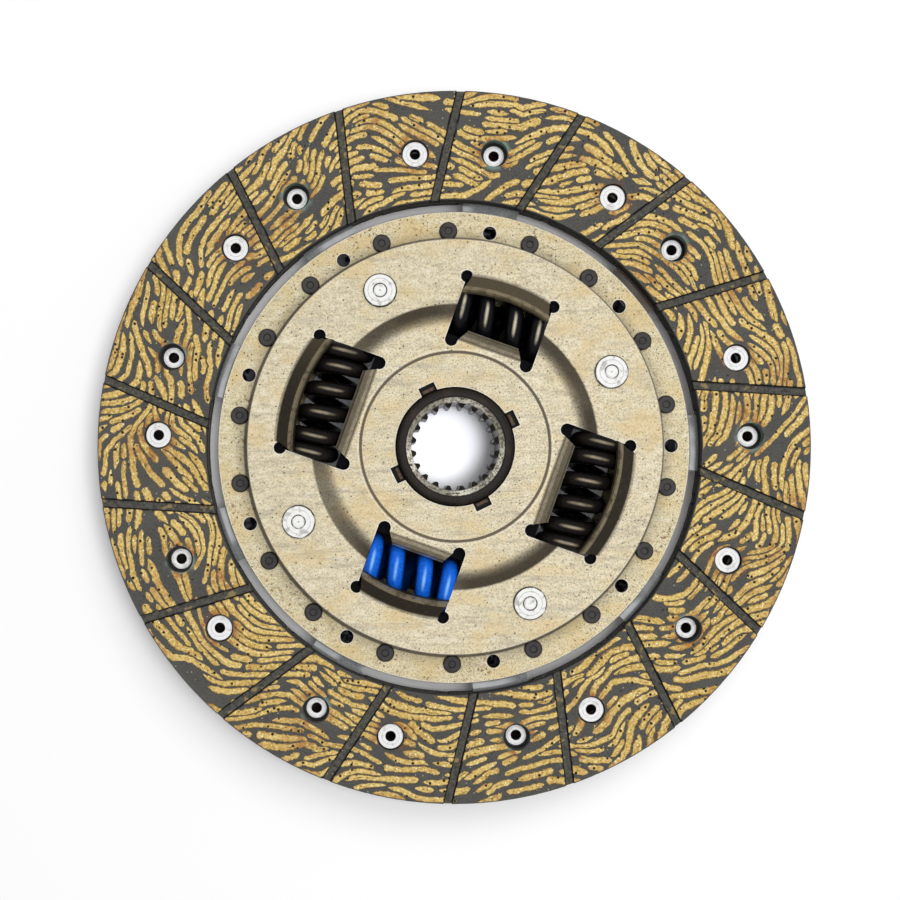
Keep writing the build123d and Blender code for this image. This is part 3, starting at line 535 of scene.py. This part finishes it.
def dull_steel(name, base, metallic, roughness, rust):
    """Bare or blackened steel, resin or fibre, with stains."""
    made = Finish(name, Metallic=metallic, Roughness=roughness)
    grain = made.noise(0.6, 5.0, 0.65)
    cloud = made.noise(6.0, 4.0, 0.6)
    colour = made.mix(made.band(grain, 0.3, 0.72), scaled(base, 0.7), scaled(base, 1.3))
    colour = made.tint(colour, made.band(cloud, 0.48, 0.68, 0.0, rust), (0.16, 0.07, 0.03))
    made.colour(colour)
    made.rough(made.band(cloud, 0.35, 0.7, roughness * 0.85, min(1.0, roughness * 1.3)))
    made.bump(grain, 0.3, 0.05)
    return made.material


def cushion(name, base, stain, stained):
    """Waved spring steel: a painted highlight band inside the facings, and painted shade at their edge
    and round its locating holes.
    """
    made = Finish(name, Metallic=0.5, Roughness=0.4)
    radius = made.radius_mm()
    grain = made.noise(0.7, 4.0, 0.7)
    cloud = made.noise(5.0, 4.0, 0.6)
    colour = made.mix(made.band(grain, 0.3, 0.7), scaled(base, 0.75), scaled(base, 1.25))
    colour = made.tint(colour, made.band(cloud, 0.46, 0.64, 0.0, stained), stain)
    # Painted highlight: a light band along the steel ring inside the facings.
    band = made.line(radius, FACING_IN - 1.8, 0.45, 0.6)
    lit = made.both(band, made.band(made.noise(18.0, 2.0), 0.42, 0.58))
    colour = made.tint(colour, lit, scaled(base, 3.2), 0.75)
    fibres = made.band(made.noise(0.5, 3.0, 0.7, (0.3, 1.0, 1.0)), 0.60, 0.70, 0.0, 0.5)
    colour = made.tint(colour, fibres, (0.42, 0.44, 0.40))
    # Painted shade under the facings' inner edge.
    under_edge = made.band(radius, FACING_IN - 0.5, FACING_IN, 0.0, 0.85)
    colour = made.tint(colour, under_edge, (0.012, 0.010, 0.008))
    # Painted shade at the locating holes: near black, with a lilac painted glimpse of the lit floor in
    # the middle.
    hole = made.from_axis(RIVETS, LOCATING_CLOCK, LOCATING_RADIUS)
    lilac = made.mix(made.band(made.noise(3.0), 0.4, 0.6), (0.05, 0.055, 0.075), (0.30, 0.31, 0.38))
    lilac = made.tint(lilac, made.band(hole, 0.5, 1.6), (0.004, 0.004, 0.005))
    made.colour(made.tint(colour, made.band(hole, 3.4, 3.0), lilac))
    made.rough(made.band(cloud, 0.35, 0.7, 0.34, 0.52))
    made.bump(grain, 0.3, 0.05)
    return made.material


def hub_steel():
    """Dark phosphated hub, worn bright on the chamfer that leads into the spline, with near-black
    painted shade on the flange.
    """
    made = Finish("hub_steel", Roughness=0.42)
    grain = made.noise(0.5, 5.0, 0.7)
    radius = made.radius_mm()
    height = made.math("ABSOLUTE", made.parts()[2])
    base = made.mix(made.band(grain, 0.3, 0.7), (0.008, 0.007, 0.006), (0.030, 0.024, 0.019))
    rubbed = made.band(made.noise(5.0, 4.0), 0.5, 0.68, 0.0, 0.35)
    base = made.tint(base, rubbed, (0.06, 0.038, 0.024))
    # Painted shade: the flange, which lies between the plates, near black.
    base = made.tint(base, made.band(radius, HUB_FLANGE, HUB_FLANGE + 1.5), (0.004, 0.004, 0.006))
    mouth = made.band(radius, SPLINE_MOUTH, SPLINE_MOUTH + 0.3)
    lead = made.both(mouth, made.band(radius, LEAD_RIM, LEAD_RIM - 0.3))
    lead = made.both(lead, made.band(height, *HUB_LEAD))
    worn = made.band(made.noise(0.9, 5.0, 0.8), 0.40, 0.56)
    lit = made.band(made.noise(14.0, 1.0), 0.35, 0.62, 0.35, 1.0)
    bright = made.mix(made.both(worn, lit), (0.10, 0.085, 0.06), (1.0, 0.96, 0.80))
    made.colour(made.tint(base, lead, bright))
    made.feed(made.shader.inputs["Specular IOR Level"], made.band(radius, 13.3, 16.5, 0.4, 0.06))
    made.bump(grain, 0.4, 0.06)
    return made.material


def spring_paint(name, base, crest, roughness, worn, worn_colour):
    """Oiled or painted spring wire, rubbed in places, with painted shade on flanks and lower coils and
    a painted highlight on the crest.
    """
    made = Finish(name, Roughness=roughness)
    grain = made.noise(0.8, 4.0, 0.6)
    colour = made.mix(made.band(grain, 0.3, 0.7), scaled(base, 0.75), scaled(base, 1.25))
    rubbed = made.band(made.noise(3.0, 4.0), 0.55, 0.7, 0.0, worn)
    colour = made.tint(colour, rubbed, worn_colour)
    # Painted shade: the coils darken towards the rear, under the plates.
    shaded = made.band(made.parts()[2], *SPRING_SHADE)
    colour = made.tint(colour, shaded, (0.002, 0.002, 0.004), 0.92)
    around = made.node("ShaderNodeAttribute", attribute_name="crest").outputs["Fac"]
    # Painted shade on the wire's flanks, away from the crest.
    colour = made.tint(colour, made.band(around, 0.80, 0.25, 0.0, 0.9), scaled(base, 0.12))
    # Painted highlight along the crest of the coils, where they face up.
    crest_highlight = made.math("POWER", made.band(around, 0.955, 1.0), 1.4)
    crest_highlight = made.both(crest_highlight, made.band(made.facing(), 0.86, 1.0))
    crest_highlight = made.both(crest_highlight, made.band(made.noise(3.0), 0.25, 0.60, 0.45, 1.0))
    made.colour(made.tint(colour, crest_highlight, crest))
    made.feed(made.shader.inputs["Specular IOR Level"], made.band(around, 0.3, 0.8, 0.05, 0.35))
    made.rough(made.band(grain, 0.3, 0.7, roughness * 0.8, min(1.0, roughness * 1.25)))
    made.bump(grain, 0.15, 0.04)
    return made.material


# --- Meshes -------------------------------------------------------------------------------------


def add_piece(name, points, faces, material, body):
    """A mesh in the disc's frame that rides on a CAD body."""
    mesh = bpy.data.meshes.new(name)
    mesh.from_pydata(points, [], faces)
    mesh.validate()
    mesh.update()
    for polygon in mesh.polygons:
        polygon.use_smooth = True
    piece = bpy.data.objects.new(name, mesh)
    bpy.context.scene.collection.objects.link(piece)
    mesh.materials.append(material)
    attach(piece, body)
    return piece


def clip(polygon, normal, offset):
    """The part of a flat polygon where normal . point <= offset; a point starts with (u, v)."""
    kept = []
    for index, point in enumerate(polygon):
        before = polygon[index - 1]
        here = normal[0] * point[0] + normal[1] * point[1] - offset
        there = normal[0] * before[0] + normal[1] * before[1] - offset
        if here * there < 0:
            share = there / (there - here)
            kept.append(tuple(b + share * (p - b) for b, p in zip(before, point)))
        if here <= 0:
            kept.append(point)
    return kept


def groove_line(index, side):
    """Unit normal and offset of a groove's middle line, in a face's own plan."""
    clock = math.radians(-GROOVE_CLOCK * side + index * 360.0 / GROOVES)
    lean = clock + math.radians(GROOVE_SKEW)
    normal = (math.cos(lean), -math.sin(lean))
    on_line = (GROOVE_RADIUS * math.sin(clock), GROOVE_RADIUS * math.cos(clock))
    return normal, normal[0] * on_line[0] + normal[1] * on_line[1]


def groove_edge(u, v, lines, side):
    """Half plane that keeps a strand's quad on its own side of the nearest groove, or None."""
    nearest = (math.degrees(math.atan2(u, v)) + GROOVE_CLOCK * side) / (360.0 / GROOVES)
    found = None
    for index in (math.floor(nearest), math.floor(nearest) + 1):
        normal, offset = lines[index % GROOVES]
        away = normal[0] * u + normal[1] * v - offset
        if found is None or abs(away) < abs(found[0]):
            found = (away, normal, offset)
    away, normal, offset = found
    if abs(away) > GROOVE_HALF + CUT_REACH:
        return None
    sign = 1.0 if away > 0 else -1.0
    return (-sign * normal[0], -sign * normal[1]), -sign * offset - GROOVE_HALF - YARN_MARGIN


def holes(side):
    """Rivet holes of a face, as (u, v, radius)."""
    found = []
    for clocks, radius in ((HEAD_CLOCK, HEAD_HOLE), (TAIL_CLOCK, TAIL_HOLE)):
        for index in range(RIVETS):
            place = clock_xy(RIVET_RADIUS, clocks[side] + index * 360.0 / RIVETS)
            found.append((*place, radius + YARN_MARGIN))
    return found


def cut_quad(quad, lines, near_holes, side):
    """A strand's quad without what the face's edges, grooves and rivet holes take off it."""
    u = sum(p[0] for p in quad) / 4
    v = sum(p[1] for p in quad) / 4
    radius = math.hypot(u, v)
    outward = (u / radius, v / radius)
    planes = []
    edge = groove_edge(u, v, lines, side)
    if edge:
        planes.append(edge)
    if radius > FACING_OUT - CUT_REACH:
        planes.append((outward, FACING_OUT - RIM_MARGIN))
    if radius < FACING_IN + CUT_REACH:
        planes.append(((-outward[0], -outward[1]), -(FACING_IN + RIM_MARGIN)))
    for hole_u, hole_v, hole in near_holes:
        away = (u - hole_u, v - hole_v)
        size = math.hypot(*away) or 1.0
        if size < hole + CUT_REACH:
            normal = (-away[0] / size, -away[1] / size)
            planes.append((normal, normal[0] * hole_u + normal[1] * hole_v - hole))
    for normal, offset in planes:
        quad = clip(quad, normal, offset)
        if len(quad) < 3:
            return []
    return quad


def yarn_heading(u, v, seed):
    """Which way the yarn runs at a point of a face: round the disc, leaning in or out by patches."""
    place = Vector((u, v, seed))
    patch = noise.voronoi(place / 21.0)[1][0]
    lean = 24.0 * noise.cell(patch * 91.7)
    waves = 74.0 * noise.noise(place / 23.0) + 30.0 * noise.noise(place / 9.0)
    waves += 10.0 * noise.noise(place / 3.0)
    return math.atan2(u, v) + math.pi / 2 + math.radians(lean + waves)


class Room:
    """Which spots of a face already hold yarn, on a fine grid."""

    def __init__(self):
        self.cells = {}

    def key(self, u, v):
        return round(u / YARN_GRID), round(v / YARN_GRID)

    def taken(self, u, v, reach, own=None):
        centre = self.key(u, v)
        steps = int(reach / YARN_GRID + 0.5)
        for across in range(-steps, steps + 1):
            for up in range(-steps, steps + 1):
                found = self.cells.get((centre[0] + across, centre[1] + up))
                if found is not None and found != own and across * across + up * up <= steps * steps:
                    return True
        return False

    def fill(self, path, own):
        for (u, v, _), (next_u, next_v, _) in zip(path, path[1:]):
            self.cells[self.key(u, v)] = own
            self.cells[self.key((u + next_u) / 2, (v + next_v) / 2)] = own

    def beside(self, u, v, across, own):
        """Distance to the next strand's middle on one side, up to the reach."""
        away = 2 * YARN_GRID
        while away < YARN_REACH:
            centre = self.key(u + across[0] * away, v + across[1] * away)
            for shift in ((0, 0), (1, 0), (0, 1)):
                found = self.cells.get((centre[0] + shift[0], centre[1] + shift[1]))
                if found is not None and found != own:
                    return away
            away += YARN_GRID
        return YARN_REACH


def grow(u, v, direction, length, seed, room, own, reach):
    """Follow the yarn's direction from a point until the length is used or other yarn is near."""
    path = []
    steps = int(length / YARN_STEP)
    for _ in range(steps):
        heading = yarn_heading(u, v, seed)
        u += direction * math.sin(heading) * YARN_STEP
        v += direction * math.cos(heading) * YARN_STEP
        radius = math.hypot(u, v)
        if not FACING_IN - 1 < radius < FACING_OUT + 1 or room.taken(u, v, reach, own):
            break
        path.append((u, v, heading))
    return path


def yarn_paths(seed, rng, room):
    """Strands that fill a face without crossing, by number, as lists of (u, v, heading)."""
    paths = {}
    inner, outer = FACING_IN + START_MARGIN, FACING_OUT - START_MARGIN
    for own in range(YARN_STARTS):
        radius = math.sqrt(rng.uniform(inner ** 2, outer ** 2))
        u, v = clock_xy(radius, rng.uniform(0.0, 360.0))
        bald = noise.noise(Vector((u, v, seed + 50)) / 8.0)
        bald += 0.3 * noise.noise(Vector((u, v, seed + 70)) / 3.0)
        if bald > BALD or room.taken(u, v, rng.choice(START_ROOM)):
            continue
        length = rng.choice(STRAND_LENGTHS) * rng.uniform(0.75, 1.2)
        reach = rng.choice(STRAND_ROOM)
        back = grow(u, v, -1, length / 2, seed, room, own, reach)
        ahead = grow(u, v, 1, length / 2, seed, room, own, reach)
        path = back[::-1] + [(u, v, yarn_heading(u, v, seed))] + ahead
        if len(path) > SHORTEST_ROWS:
            room.fill(path, own)
            paths[own] = path
    return paths


def half_widths(path, own, room, side, cap):
    """How wide a strand is to one side of its middle, filling the room up to its neighbour."""
    found = []
    for u, v, heading in path:
        across = (side * math.cos(heading), -side * math.sin(heading))
        found.append(min(cap, room.beside(u, v, across, own) / 2 - YARN_GAP))
    smooth = []
    for index in range(len(found)):
        near = found[max(0, index - 3):index + 4]
        smooth.append(sum(near) / len(near))
    return smooth


def strand_rows(path, own, room, rng):
    """Cross-sections of a flattened strand along its path: left edge, two crowns, right edge."""
    cap = rng.uniform(*WIDEST_HALF)
    widths = [half_widths(path, own, room, side, cap) for side in (-1, 1)]
    tapers = [rng.choice(TAPERS) * rng.uniform(0.8, 1.3) for _ in (0, 1)]
    rows = []
    for index, (u, v, heading) in enumerate(path):
        run = index * YARN_STEP
        left = (len(path) - 1) * YARN_STEP - run
        shape = min(1.0, max(0.02, run / tapers[0]) ** 0.55, max(0.02, left / tapers[1]) ** 0.55)
        side_u, side_v = math.cos(heading), -math.sin(heading)
        row = []
        for share, height, edge in CROSS_SECTION:
            side = 1 if share > 0 else -1
            half = max(0.1, widths[side > 0][index])
            ripple = 1 + 0.34 * noise.noise(Vector((run / 1.3, own * 3.7, side * 5.0)))
            ripple += rng.uniform(-0.16, 0.12)
            away = share * half * shape * ripple
            row.append((u + side_u * away, v + side_v * away, height, edge, run + own * 3.1, away))
        rows.append(row)
    return rows


def stain_at(u, v, near_holes, patches):
    """How rusty a strand's point is: near its rivet, near the rim and in a few patches."""
    stain = 0.0
    for hole_u, hole_v, hole in near_holes:
        stain = max(stain, 1.0 - (math.hypot(u - hole_u, v - hole_v) - hole) / 3.0)
    stain = max(stain, 0.75 - (FACING_OUT - math.hypot(u, v)) / 2.5)
    for patch_u, patch_v, size, depth in patches:
        stain = max(stain, depth * (1.0 - math.hypot(u - patch_u, v - patch_v) / size))
    return max(0.0, min(1.0, stain))


def make_yarn(side, material):
    """All the yarn strands that show on one face."""
    seed = YARN_SEED[side]
    rng = random.Random(seed)
    room = Room()
    face = {
        "side": side,
        "lines": [groove_line(index, side) for index in range(GROOVES)],
        "holes": holes(side),
        "patches": [],
    }
    for _ in range(RUSTY_PATCHES):
        place = clock_xy(rng.uniform(72, 98), rng.uniform(0, 360))
        face["patches"].append((*place, rng.uniform(4, 11), rng.uniform(0.5, 1.0)))
    yarn_mesh = {"points": [], "faces": [], "strand": [], "run": []}
    for own, path in yarn_paths(seed, rng, room).items():
        u, v, _ = path[len(path) // 2]
        near = [hole for hole in face["holes"] if math.hypot(hole[0] - u, hole[1] - v) < NEAR_HOLES]
        tone = 0.5 + 0.5 * noise.noise(Vector((u, v, seed + 9)) / 9.0) + rng.uniform(-0.25, 0.25)
        rows = strand_rows(path, own, room, rng)
        lift = LIFT_STEP * (own % LIFTS)
        add_strand(rows, face, near, lift, max(0.0, min(1.0, tone)), yarn_mesh)
    name = f"yarn_{'front' if side > 0 else 'rear'}"
    points, faces = yarn_mesh["points"], yarn_mesh["faces"]
    piece = add_piece(name, points, faces, material, "disc")
    for layer_name in ("strand", "run"):
        layer = piece.data.attributes.new(layer_name, "FLOAT_VECTOR", "POINT")
        numbers = [number for point in yarn_mesh[layer_name] for number in point]
        layer.data.foreach_set("vector", numbers)
    return piece


def add_strand(rows, face, near_holes, lift, tone, yarn_mesh):
    """One strand's faces, cut where the yarn ends on the real face."""
    side = face["side"]
    points = yarn_mesh["points"]

    def add_point(point):
        u, v, height, edge, run, away = point
        points.append((side * u * MM, v * MM, side * (FACING_TOP + height + lift) * MM))
        yarn_mesh["strand"].append((tone, stain_at(u, v, near_holes, face["patches"]), edge))
        yarn_mesh["run"].append((run, away, 0.0))
        return len(points) - 1

    kept = {}
    for row in range(len(rows) - 1):
        for column in range(3):
            corners = [(row, column), (row, column + 1), (row + 1, column + 1), (row + 1, column)]
            quad = [rows[r][c] for r, c in corners]
            cut = cut_quad(quad, face["lines"], near_holes, side)
            if len(cut) < 3:
                continue
            if cut == quad:
                indices = []
                for corner in corners:
                    if corner not in kept:
                        kept[corner] = add_point(rows[corner[0]][corner[1]])
                    indices.append(kept[corner])
            else:
                indices = [add_point(point) for point in cut]
            yarn_mesh["faces"].append(indices if side > 0 else indices[::-1])


def spring_line(length, diameter, wire, turns, closed):
    """Middle line of a coil about Z, closed at both ends, as (x, y, z, angle) in mm."""
    mean = (diameter - wire) / 2
    closed_pitch = wire + SPRING_CLOSED_GAP
    start = SPRING_FIRST_BAR - SPRING_TIP_TURNS * closed_pitch
    open_turns = turns - 2 * closed
    open_pitch = (length - 2 * start - 2 * closed * closed_pitch) / open_turns
    line = []
    steps = round(turns * COIL_STEPS)
    for index in range(steps + 1):
        turned = turns * index / steps
        height = start - length / 2
        height += closed_pitch * min(turned, closed)
        height += open_pitch * (max(closed, min(turned, turns - closed)) - closed)
        height += closed_pitch * max(0.0, turned - (turns - closed))
        angle = math.tau * (turned - SPRING_TIP_TURNS)
        line.append((mean * math.cos(angle), mean * math.sin(angle), height, angle))
    return line


def coil_piece(name, clock, size, material):
    """A spring's coil under its own piece name, standing for the CAD spring."""
    turned = math.radians(clock)
    outward = Vector((math.sin(turned), math.cos(turned), 0))
    along = Vector((math.cos(turned), -math.sin(turned), 0))
    up = Vector((0, 0, 1))
    radius, length, diameter, wire, turns, closed = size
    middle = outward * radius + up * SPRING_HEIGHT
    line = spring_line(length, diameter, wire, turns, closed)
    points, faces, crest = [], [], []
    for x, y, z, angle in line:
        radial = Vector((math.cos(angle), math.sin(angle), 0))
        for index in range(COIL_SIDES):
            around = math.tau * index / COIL_SIDES
            local = Vector((x, y, z)) + radial * (wire / 2 * math.cos(around))
            local.z += wire / 2 * math.sin(around)
            local.z = max(-length / 2, min(length / 2, local.z))
            place = middle + up * local.x - outward * local.y + along * local.z
            points.append(tuple(place * MM))
            crest.append(max(0.0, math.cos(around)))
    for row in range(len(line) - 1):
        for index in range(COIL_SIDES):
            following = (index + 1) % COIL_SIDES
            corners = ((row, index), (row, following), (row + 1, following), (row + 1, index))
            faces.append([ring * COIL_SIDES + corner for ring, corner in corners])
    faces.append(list(range(COIL_SIDES))[::-1])
    faces.append([(len(line) - 1) * COIL_SIDES + index for index in range(COIL_SIDES)])
    piece = add_piece(name + "_coil", points, faces, material, "springs")
    piece.data.attributes.new("crest", "FLOAT", "POINT").data.foreach_set("value", crest)
    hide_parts(name)
    return piece, along, middle


def dress_spring(made):
    """Give a coil's piece a mesh of its own."""
    piece, along, middle = made
    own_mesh(piece)


# --- The scene ----------------------------------------------------------------------------------


def paint(nodes, name, material):
    """Give a CAD node's object one material."""
    mesh = nodes[name].data
    mesh.materials.clear()
    mesh.materials.append(material)


def floor_finish(height):
    """White to the camera, with painted shadow, dark or lilac, where holes of the disc show it, and a
    painted glow under the bore.
    """
    made = Finish("floor_white", Roughness=0.9, Specular_IOR_Level=0.0)
    rays = made.node("ShaderNodeLightPath").outputs
    seen = made.math("ADD", rays["Is Camera Ray"], rays["Is Glossy Ray"], clamp=True)
    seen = made.math("ADD", seen, rays["Is Transmission Ray"], clamp=True)
    # Painted shadow on the floor seen through the disc: dark under the rivets and short springs, dark
    # or lilac under the locating holes.
    under_rivets = made.line(made.radius_mm(), RIVET_RADIUS, 3.0, 1.0)
    under_holes = made.line(made.radius_mm(), LOCATING_RADIUS, 3.2, 0.4)
    short = made.from_axis(2, SHORT_CLOCKS[0], SHORT_SPRING[0])
    dark = made.math("MAXIMUM", under_rivets, made.band(short, 18.0, 15.0))
    shown = made.mix(dark, (1.0, 1.0, 1.0), (0.06, 0.05, 0.05))
    lilac = made.mix(made.band(made.noise(2.6), 0.44, 0.58), (0.015, 0.015, 0.020), (0.24, 0.25, 0.31))
    shown = made.tint(shown, under_holes, lilac)
    dark = made.math("MAXIMUM", dark, under_holes)
    made.colour(made.mix(seen, (0.62, 0.62, 0.68), shown))
    # Painted light: the floor glows under the hub's bore, for camera and glossy rays, less where
    # painted shadow lies.
    centre = made.node("ShaderNodeVectorMath", operation="DISTANCE")
    made.feed(centre.inputs[0], made.place)
    centre.inputs[1].default_value = (-0.0025, 0.0015, height)
    near = made.band(centre.outputs["Value"], 0.0135, 0.0075, 0.05, 0.62)
    made.feed(made.shader.inputs["Emission Color"], (0.88, 0.90, 1.0))
    lit = made.both(near, made.math("SUBTRACT", 1.0, dark))
    made.feed(made.shader.inputs["Emission Strength"], made.both(lit, seen))
    return made.material


def make_floor():
    """A white floor that keeps the disc's soft shadow and carries painted shadow and a painted glow.
    """
    size = FLOOR_HALF * MM
    height = (FLOOR_HEIGHT - FLOOR_GAP) * MM
    mesh = bpy.data.meshes.new("floor")
    corners = ((-size, -size), (size, -size), (size, size), (-size, size))
    mesh.from_pydata([(x, y, height) for x, y in corners], [], [(0, 1, 2, 3)])
    floor = bpy.data.objects.new("floor", mesh)
    bpy.context.scene.collection.objects.link(floor)
    mesh.materials.append(floor_finish(height))


def make_world():
    """A studio that is white overhead and dim towards the horizon."""
    world = bpy.data.worlds.new("studio")
    world.use_nodes = True
    bpy.context.scene.world = world
    tree = world.node_tree
    back = tree.nodes["Background"]
    place = tree.nodes.new("ShaderNodeTexCoord")
    parts = tree.nodes.new("ShaderNodeSeparateXYZ")
    ramp = tree.nodes.new("ShaderNodeValToRGB")
    ramp.color_ramp.interpolation = "EASE"
    ramp.color_ramp.elements[0].position = WORLD_EDGE[0]
    ramp.color_ramp.elements[0].color = (*WORLD_LOW, 1)
    ramp.color_ramp.elements[1].position = WORLD_EDGE[1]
    ramp.color_ramp.elements[1].color = (*WORLD_HIGH, 1)
    tree.links.new(place.outputs["Generated"], parts.inputs[0])
    tree.links.new(parts.outputs[2], ramp.inputs[0])
    tree.links.new(ramp.outputs[0], back.inputs["Color"])
    back.inputs["Strength"].default_value = 1.0


def make_lamp(name, clock, lean, distance, size, power):
    """A square soft lamp aimed at the disc."""
    data = bpy.data.lights.new(name, "AREA")
    data.size = size
    data.energy = power
    lamp = bpy.data.objects.new(name, data)
    level_x, level_y = clock_xy(distance * math.sin(math.radians(lean)), clock)
    lamp.location = (level_x, level_y, distance * math.cos(math.radians(lean)))
    lamp.rotation_euler = (-Vector(lamp.location)).to_track_quat("-Z", "Y").to_euler()
    lamp.visible_glossy = False
    bpy.context.scene.collection.objects.link(lamp)


def make_camera():
    """Straight above the disc, framed as 900 x 900 pixels."""
    data = bpy.data.cameras.new("camera")
    data.sensor_width = SENSOR_MM
    data.lens = FOCAL_PX / FRAME_PX * data.sensor_width
    data.shift_x = (FRAME_PX / 2 - CENTRE_PX[0]) / FRAME_PX
    data.shift_y = (CENTRE_PX[1] - FRAME_PX / 2) / FRAME_PX
    camera = bpy.data.objects.new("camera", data)
    camera.location = (CAMERA_OFFSET[0] * MM, CAMERA_OFFSET[1] * MM, CAMERA_HEIGHT * MM)
    lean = FOCAL_PX / FRAME_PX / (CAMERA_HEIGHT - FACING_TOP)
    data.shift_x -= CAMERA_OFFSET[0] * lean
    data.shift_y -= CAMERA_OFFSET[1] * lean
    bpy.context.scene.collection.objects.link(camera)
    bpy.context.scene.camera = camera


def paint_plates(nodes):
    """Facings, sheet-metal parts and cushion segments."""
    paint(nodes, "facing_front", lining(1))
    paint(nodes, "facing_rear", lining(-1))
    paint(nodes, "retaining_plate", zinc("zinc_retaining", (0.80, 0.70, 0.49)))
    disc = zinc("zinc_disc", (0.78, 0.68, 0.44), streak=0.5, specks=0.3, blotch=0.55, rust=0.8)
    paint(nodes, "disc_plate", disc)
    steel = cushion("cushion_steel", (0.20, 0.205, 0.21), stain=(0.16, 0.20, 0.17), stained=0.4)
    dark = cushion("cushion_steel_dark", (0.055, 0.048, 0.042), stain=(0.12, 0.055, 0.02), stained=0.6)
    for index in range(1, CUSHION_SEGMENTS + 1):
        paint(nodes, f"cushion_segment_{index}", dark if index == DARK_SEGMENT else steel)


def paint_heads(nodes):
    """Heads of the facing rivets, stop pins and cushion rivets."""
    for side, name in ((1, "facing_rivets_front"), (-1, "facing_rivets_rear")):
        spots = [(RIVETS, side * HEAD_CLOCK[side], RIVET_RADIUS)]
        paint(nodes, name, head_metal(name + "_zinc", (1.0, 1.0, 1.0), spots, FACING_RINGS, stain=0.4))
    spots = [(STOP_PINS, STOP_PIN_CLOCK, STOP_PIN_RADIUS)]
    paint(nodes, "stop_pins", head_metal("pin_zinc", (1.0, 1.0, 0.97), spots, PIN_RINGS, stain=0.75))
    spots = [(RIVETS, clock, CUSHION_RIVET_RADIUS) for clock in CUSHION_RIVET_CLOCKS]
    dark = head_metal("rivet_dark", (0.060, 0.057, 0.056), spots, CUSHION_RINGS, stain=0.7)
    paint(nodes, "cushion_rivets", dark)


def paint_hub(nodes):
    """The hub and the thrust and friction parts round it."""
    paint(nodes, "hub", hub_steel())
    paint(nodes, "lugged_thrust_plate", lug_steel())
    for name, finish, base, metallic, roughness, rust in (
        ("cone_spring_washer", "washer_steel", (0.10, 0.09, 0.08), 0.6, 0.4, 0.3),
        ("front_friction_washer", "washer_fibre", (0.09, 0.065, 0.045), 0.0, 0.75, 0.2),
        ("rear_friction_bush", "bush_resin", (0.07, 0.055, 0.045), 0.0, 0.6, 0.1),
    ):
        paint(nodes, name, dull_steel(finish, base, metallic, roughness, rust))


def make_springs():
    """The four damper springs: two long bronze ones, a short black and a short blue one."""
    bronze = spring_paint("spring_bronze", *BRONZE_WIRE)
    black = spring_paint("spring_black", *BLACK_WIRE)
    blue = spring_paint("spring_blue", *BLUE_WIRE)
    for name, clock, size, material, slot in (
        ("damper_spring_long_1", LONG_CLOCKS[0], LONG_SPRING, bronze, "spring_bronze_black"),
        ("damper_spring_long_2", LONG_CLOCKS[1], LONG_SPRING, bronze, "spring_bronze_black"),
        ("damper_spring_short_1", SHORT_CLOCKS[0], SHORT_SPRING, black, "spring_black"),
        ("damper_spring_short_2", SHORT_CLOCKS[1], SHORT_SPRING, blue, "spring_blue"),
    ):
        dress_spring(coil_piece(name, clock, size, material))


def main():
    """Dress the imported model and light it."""
    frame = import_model()
    nodes = frame["nodes"]
    make_camera()
    make_floor()
    make_world()
    make_lamp("softbox", clock=100.0, lean=15.0, distance=1.5, size=0.7, power=10.1)
    make_lamp("window_light", clock=30.0, lean=36.0, distance=1.5, size=0.8, power=6.8)
    bpy.context.scene.view_settings.view_transform = "Standard"

    paint_plates(nodes)
    paint_heads(nodes)
    paint_hub(nodes)
    make_yarn(1, yarn(1))
    make_yarn(-1, yarn(-1))
    make_springs()


main()
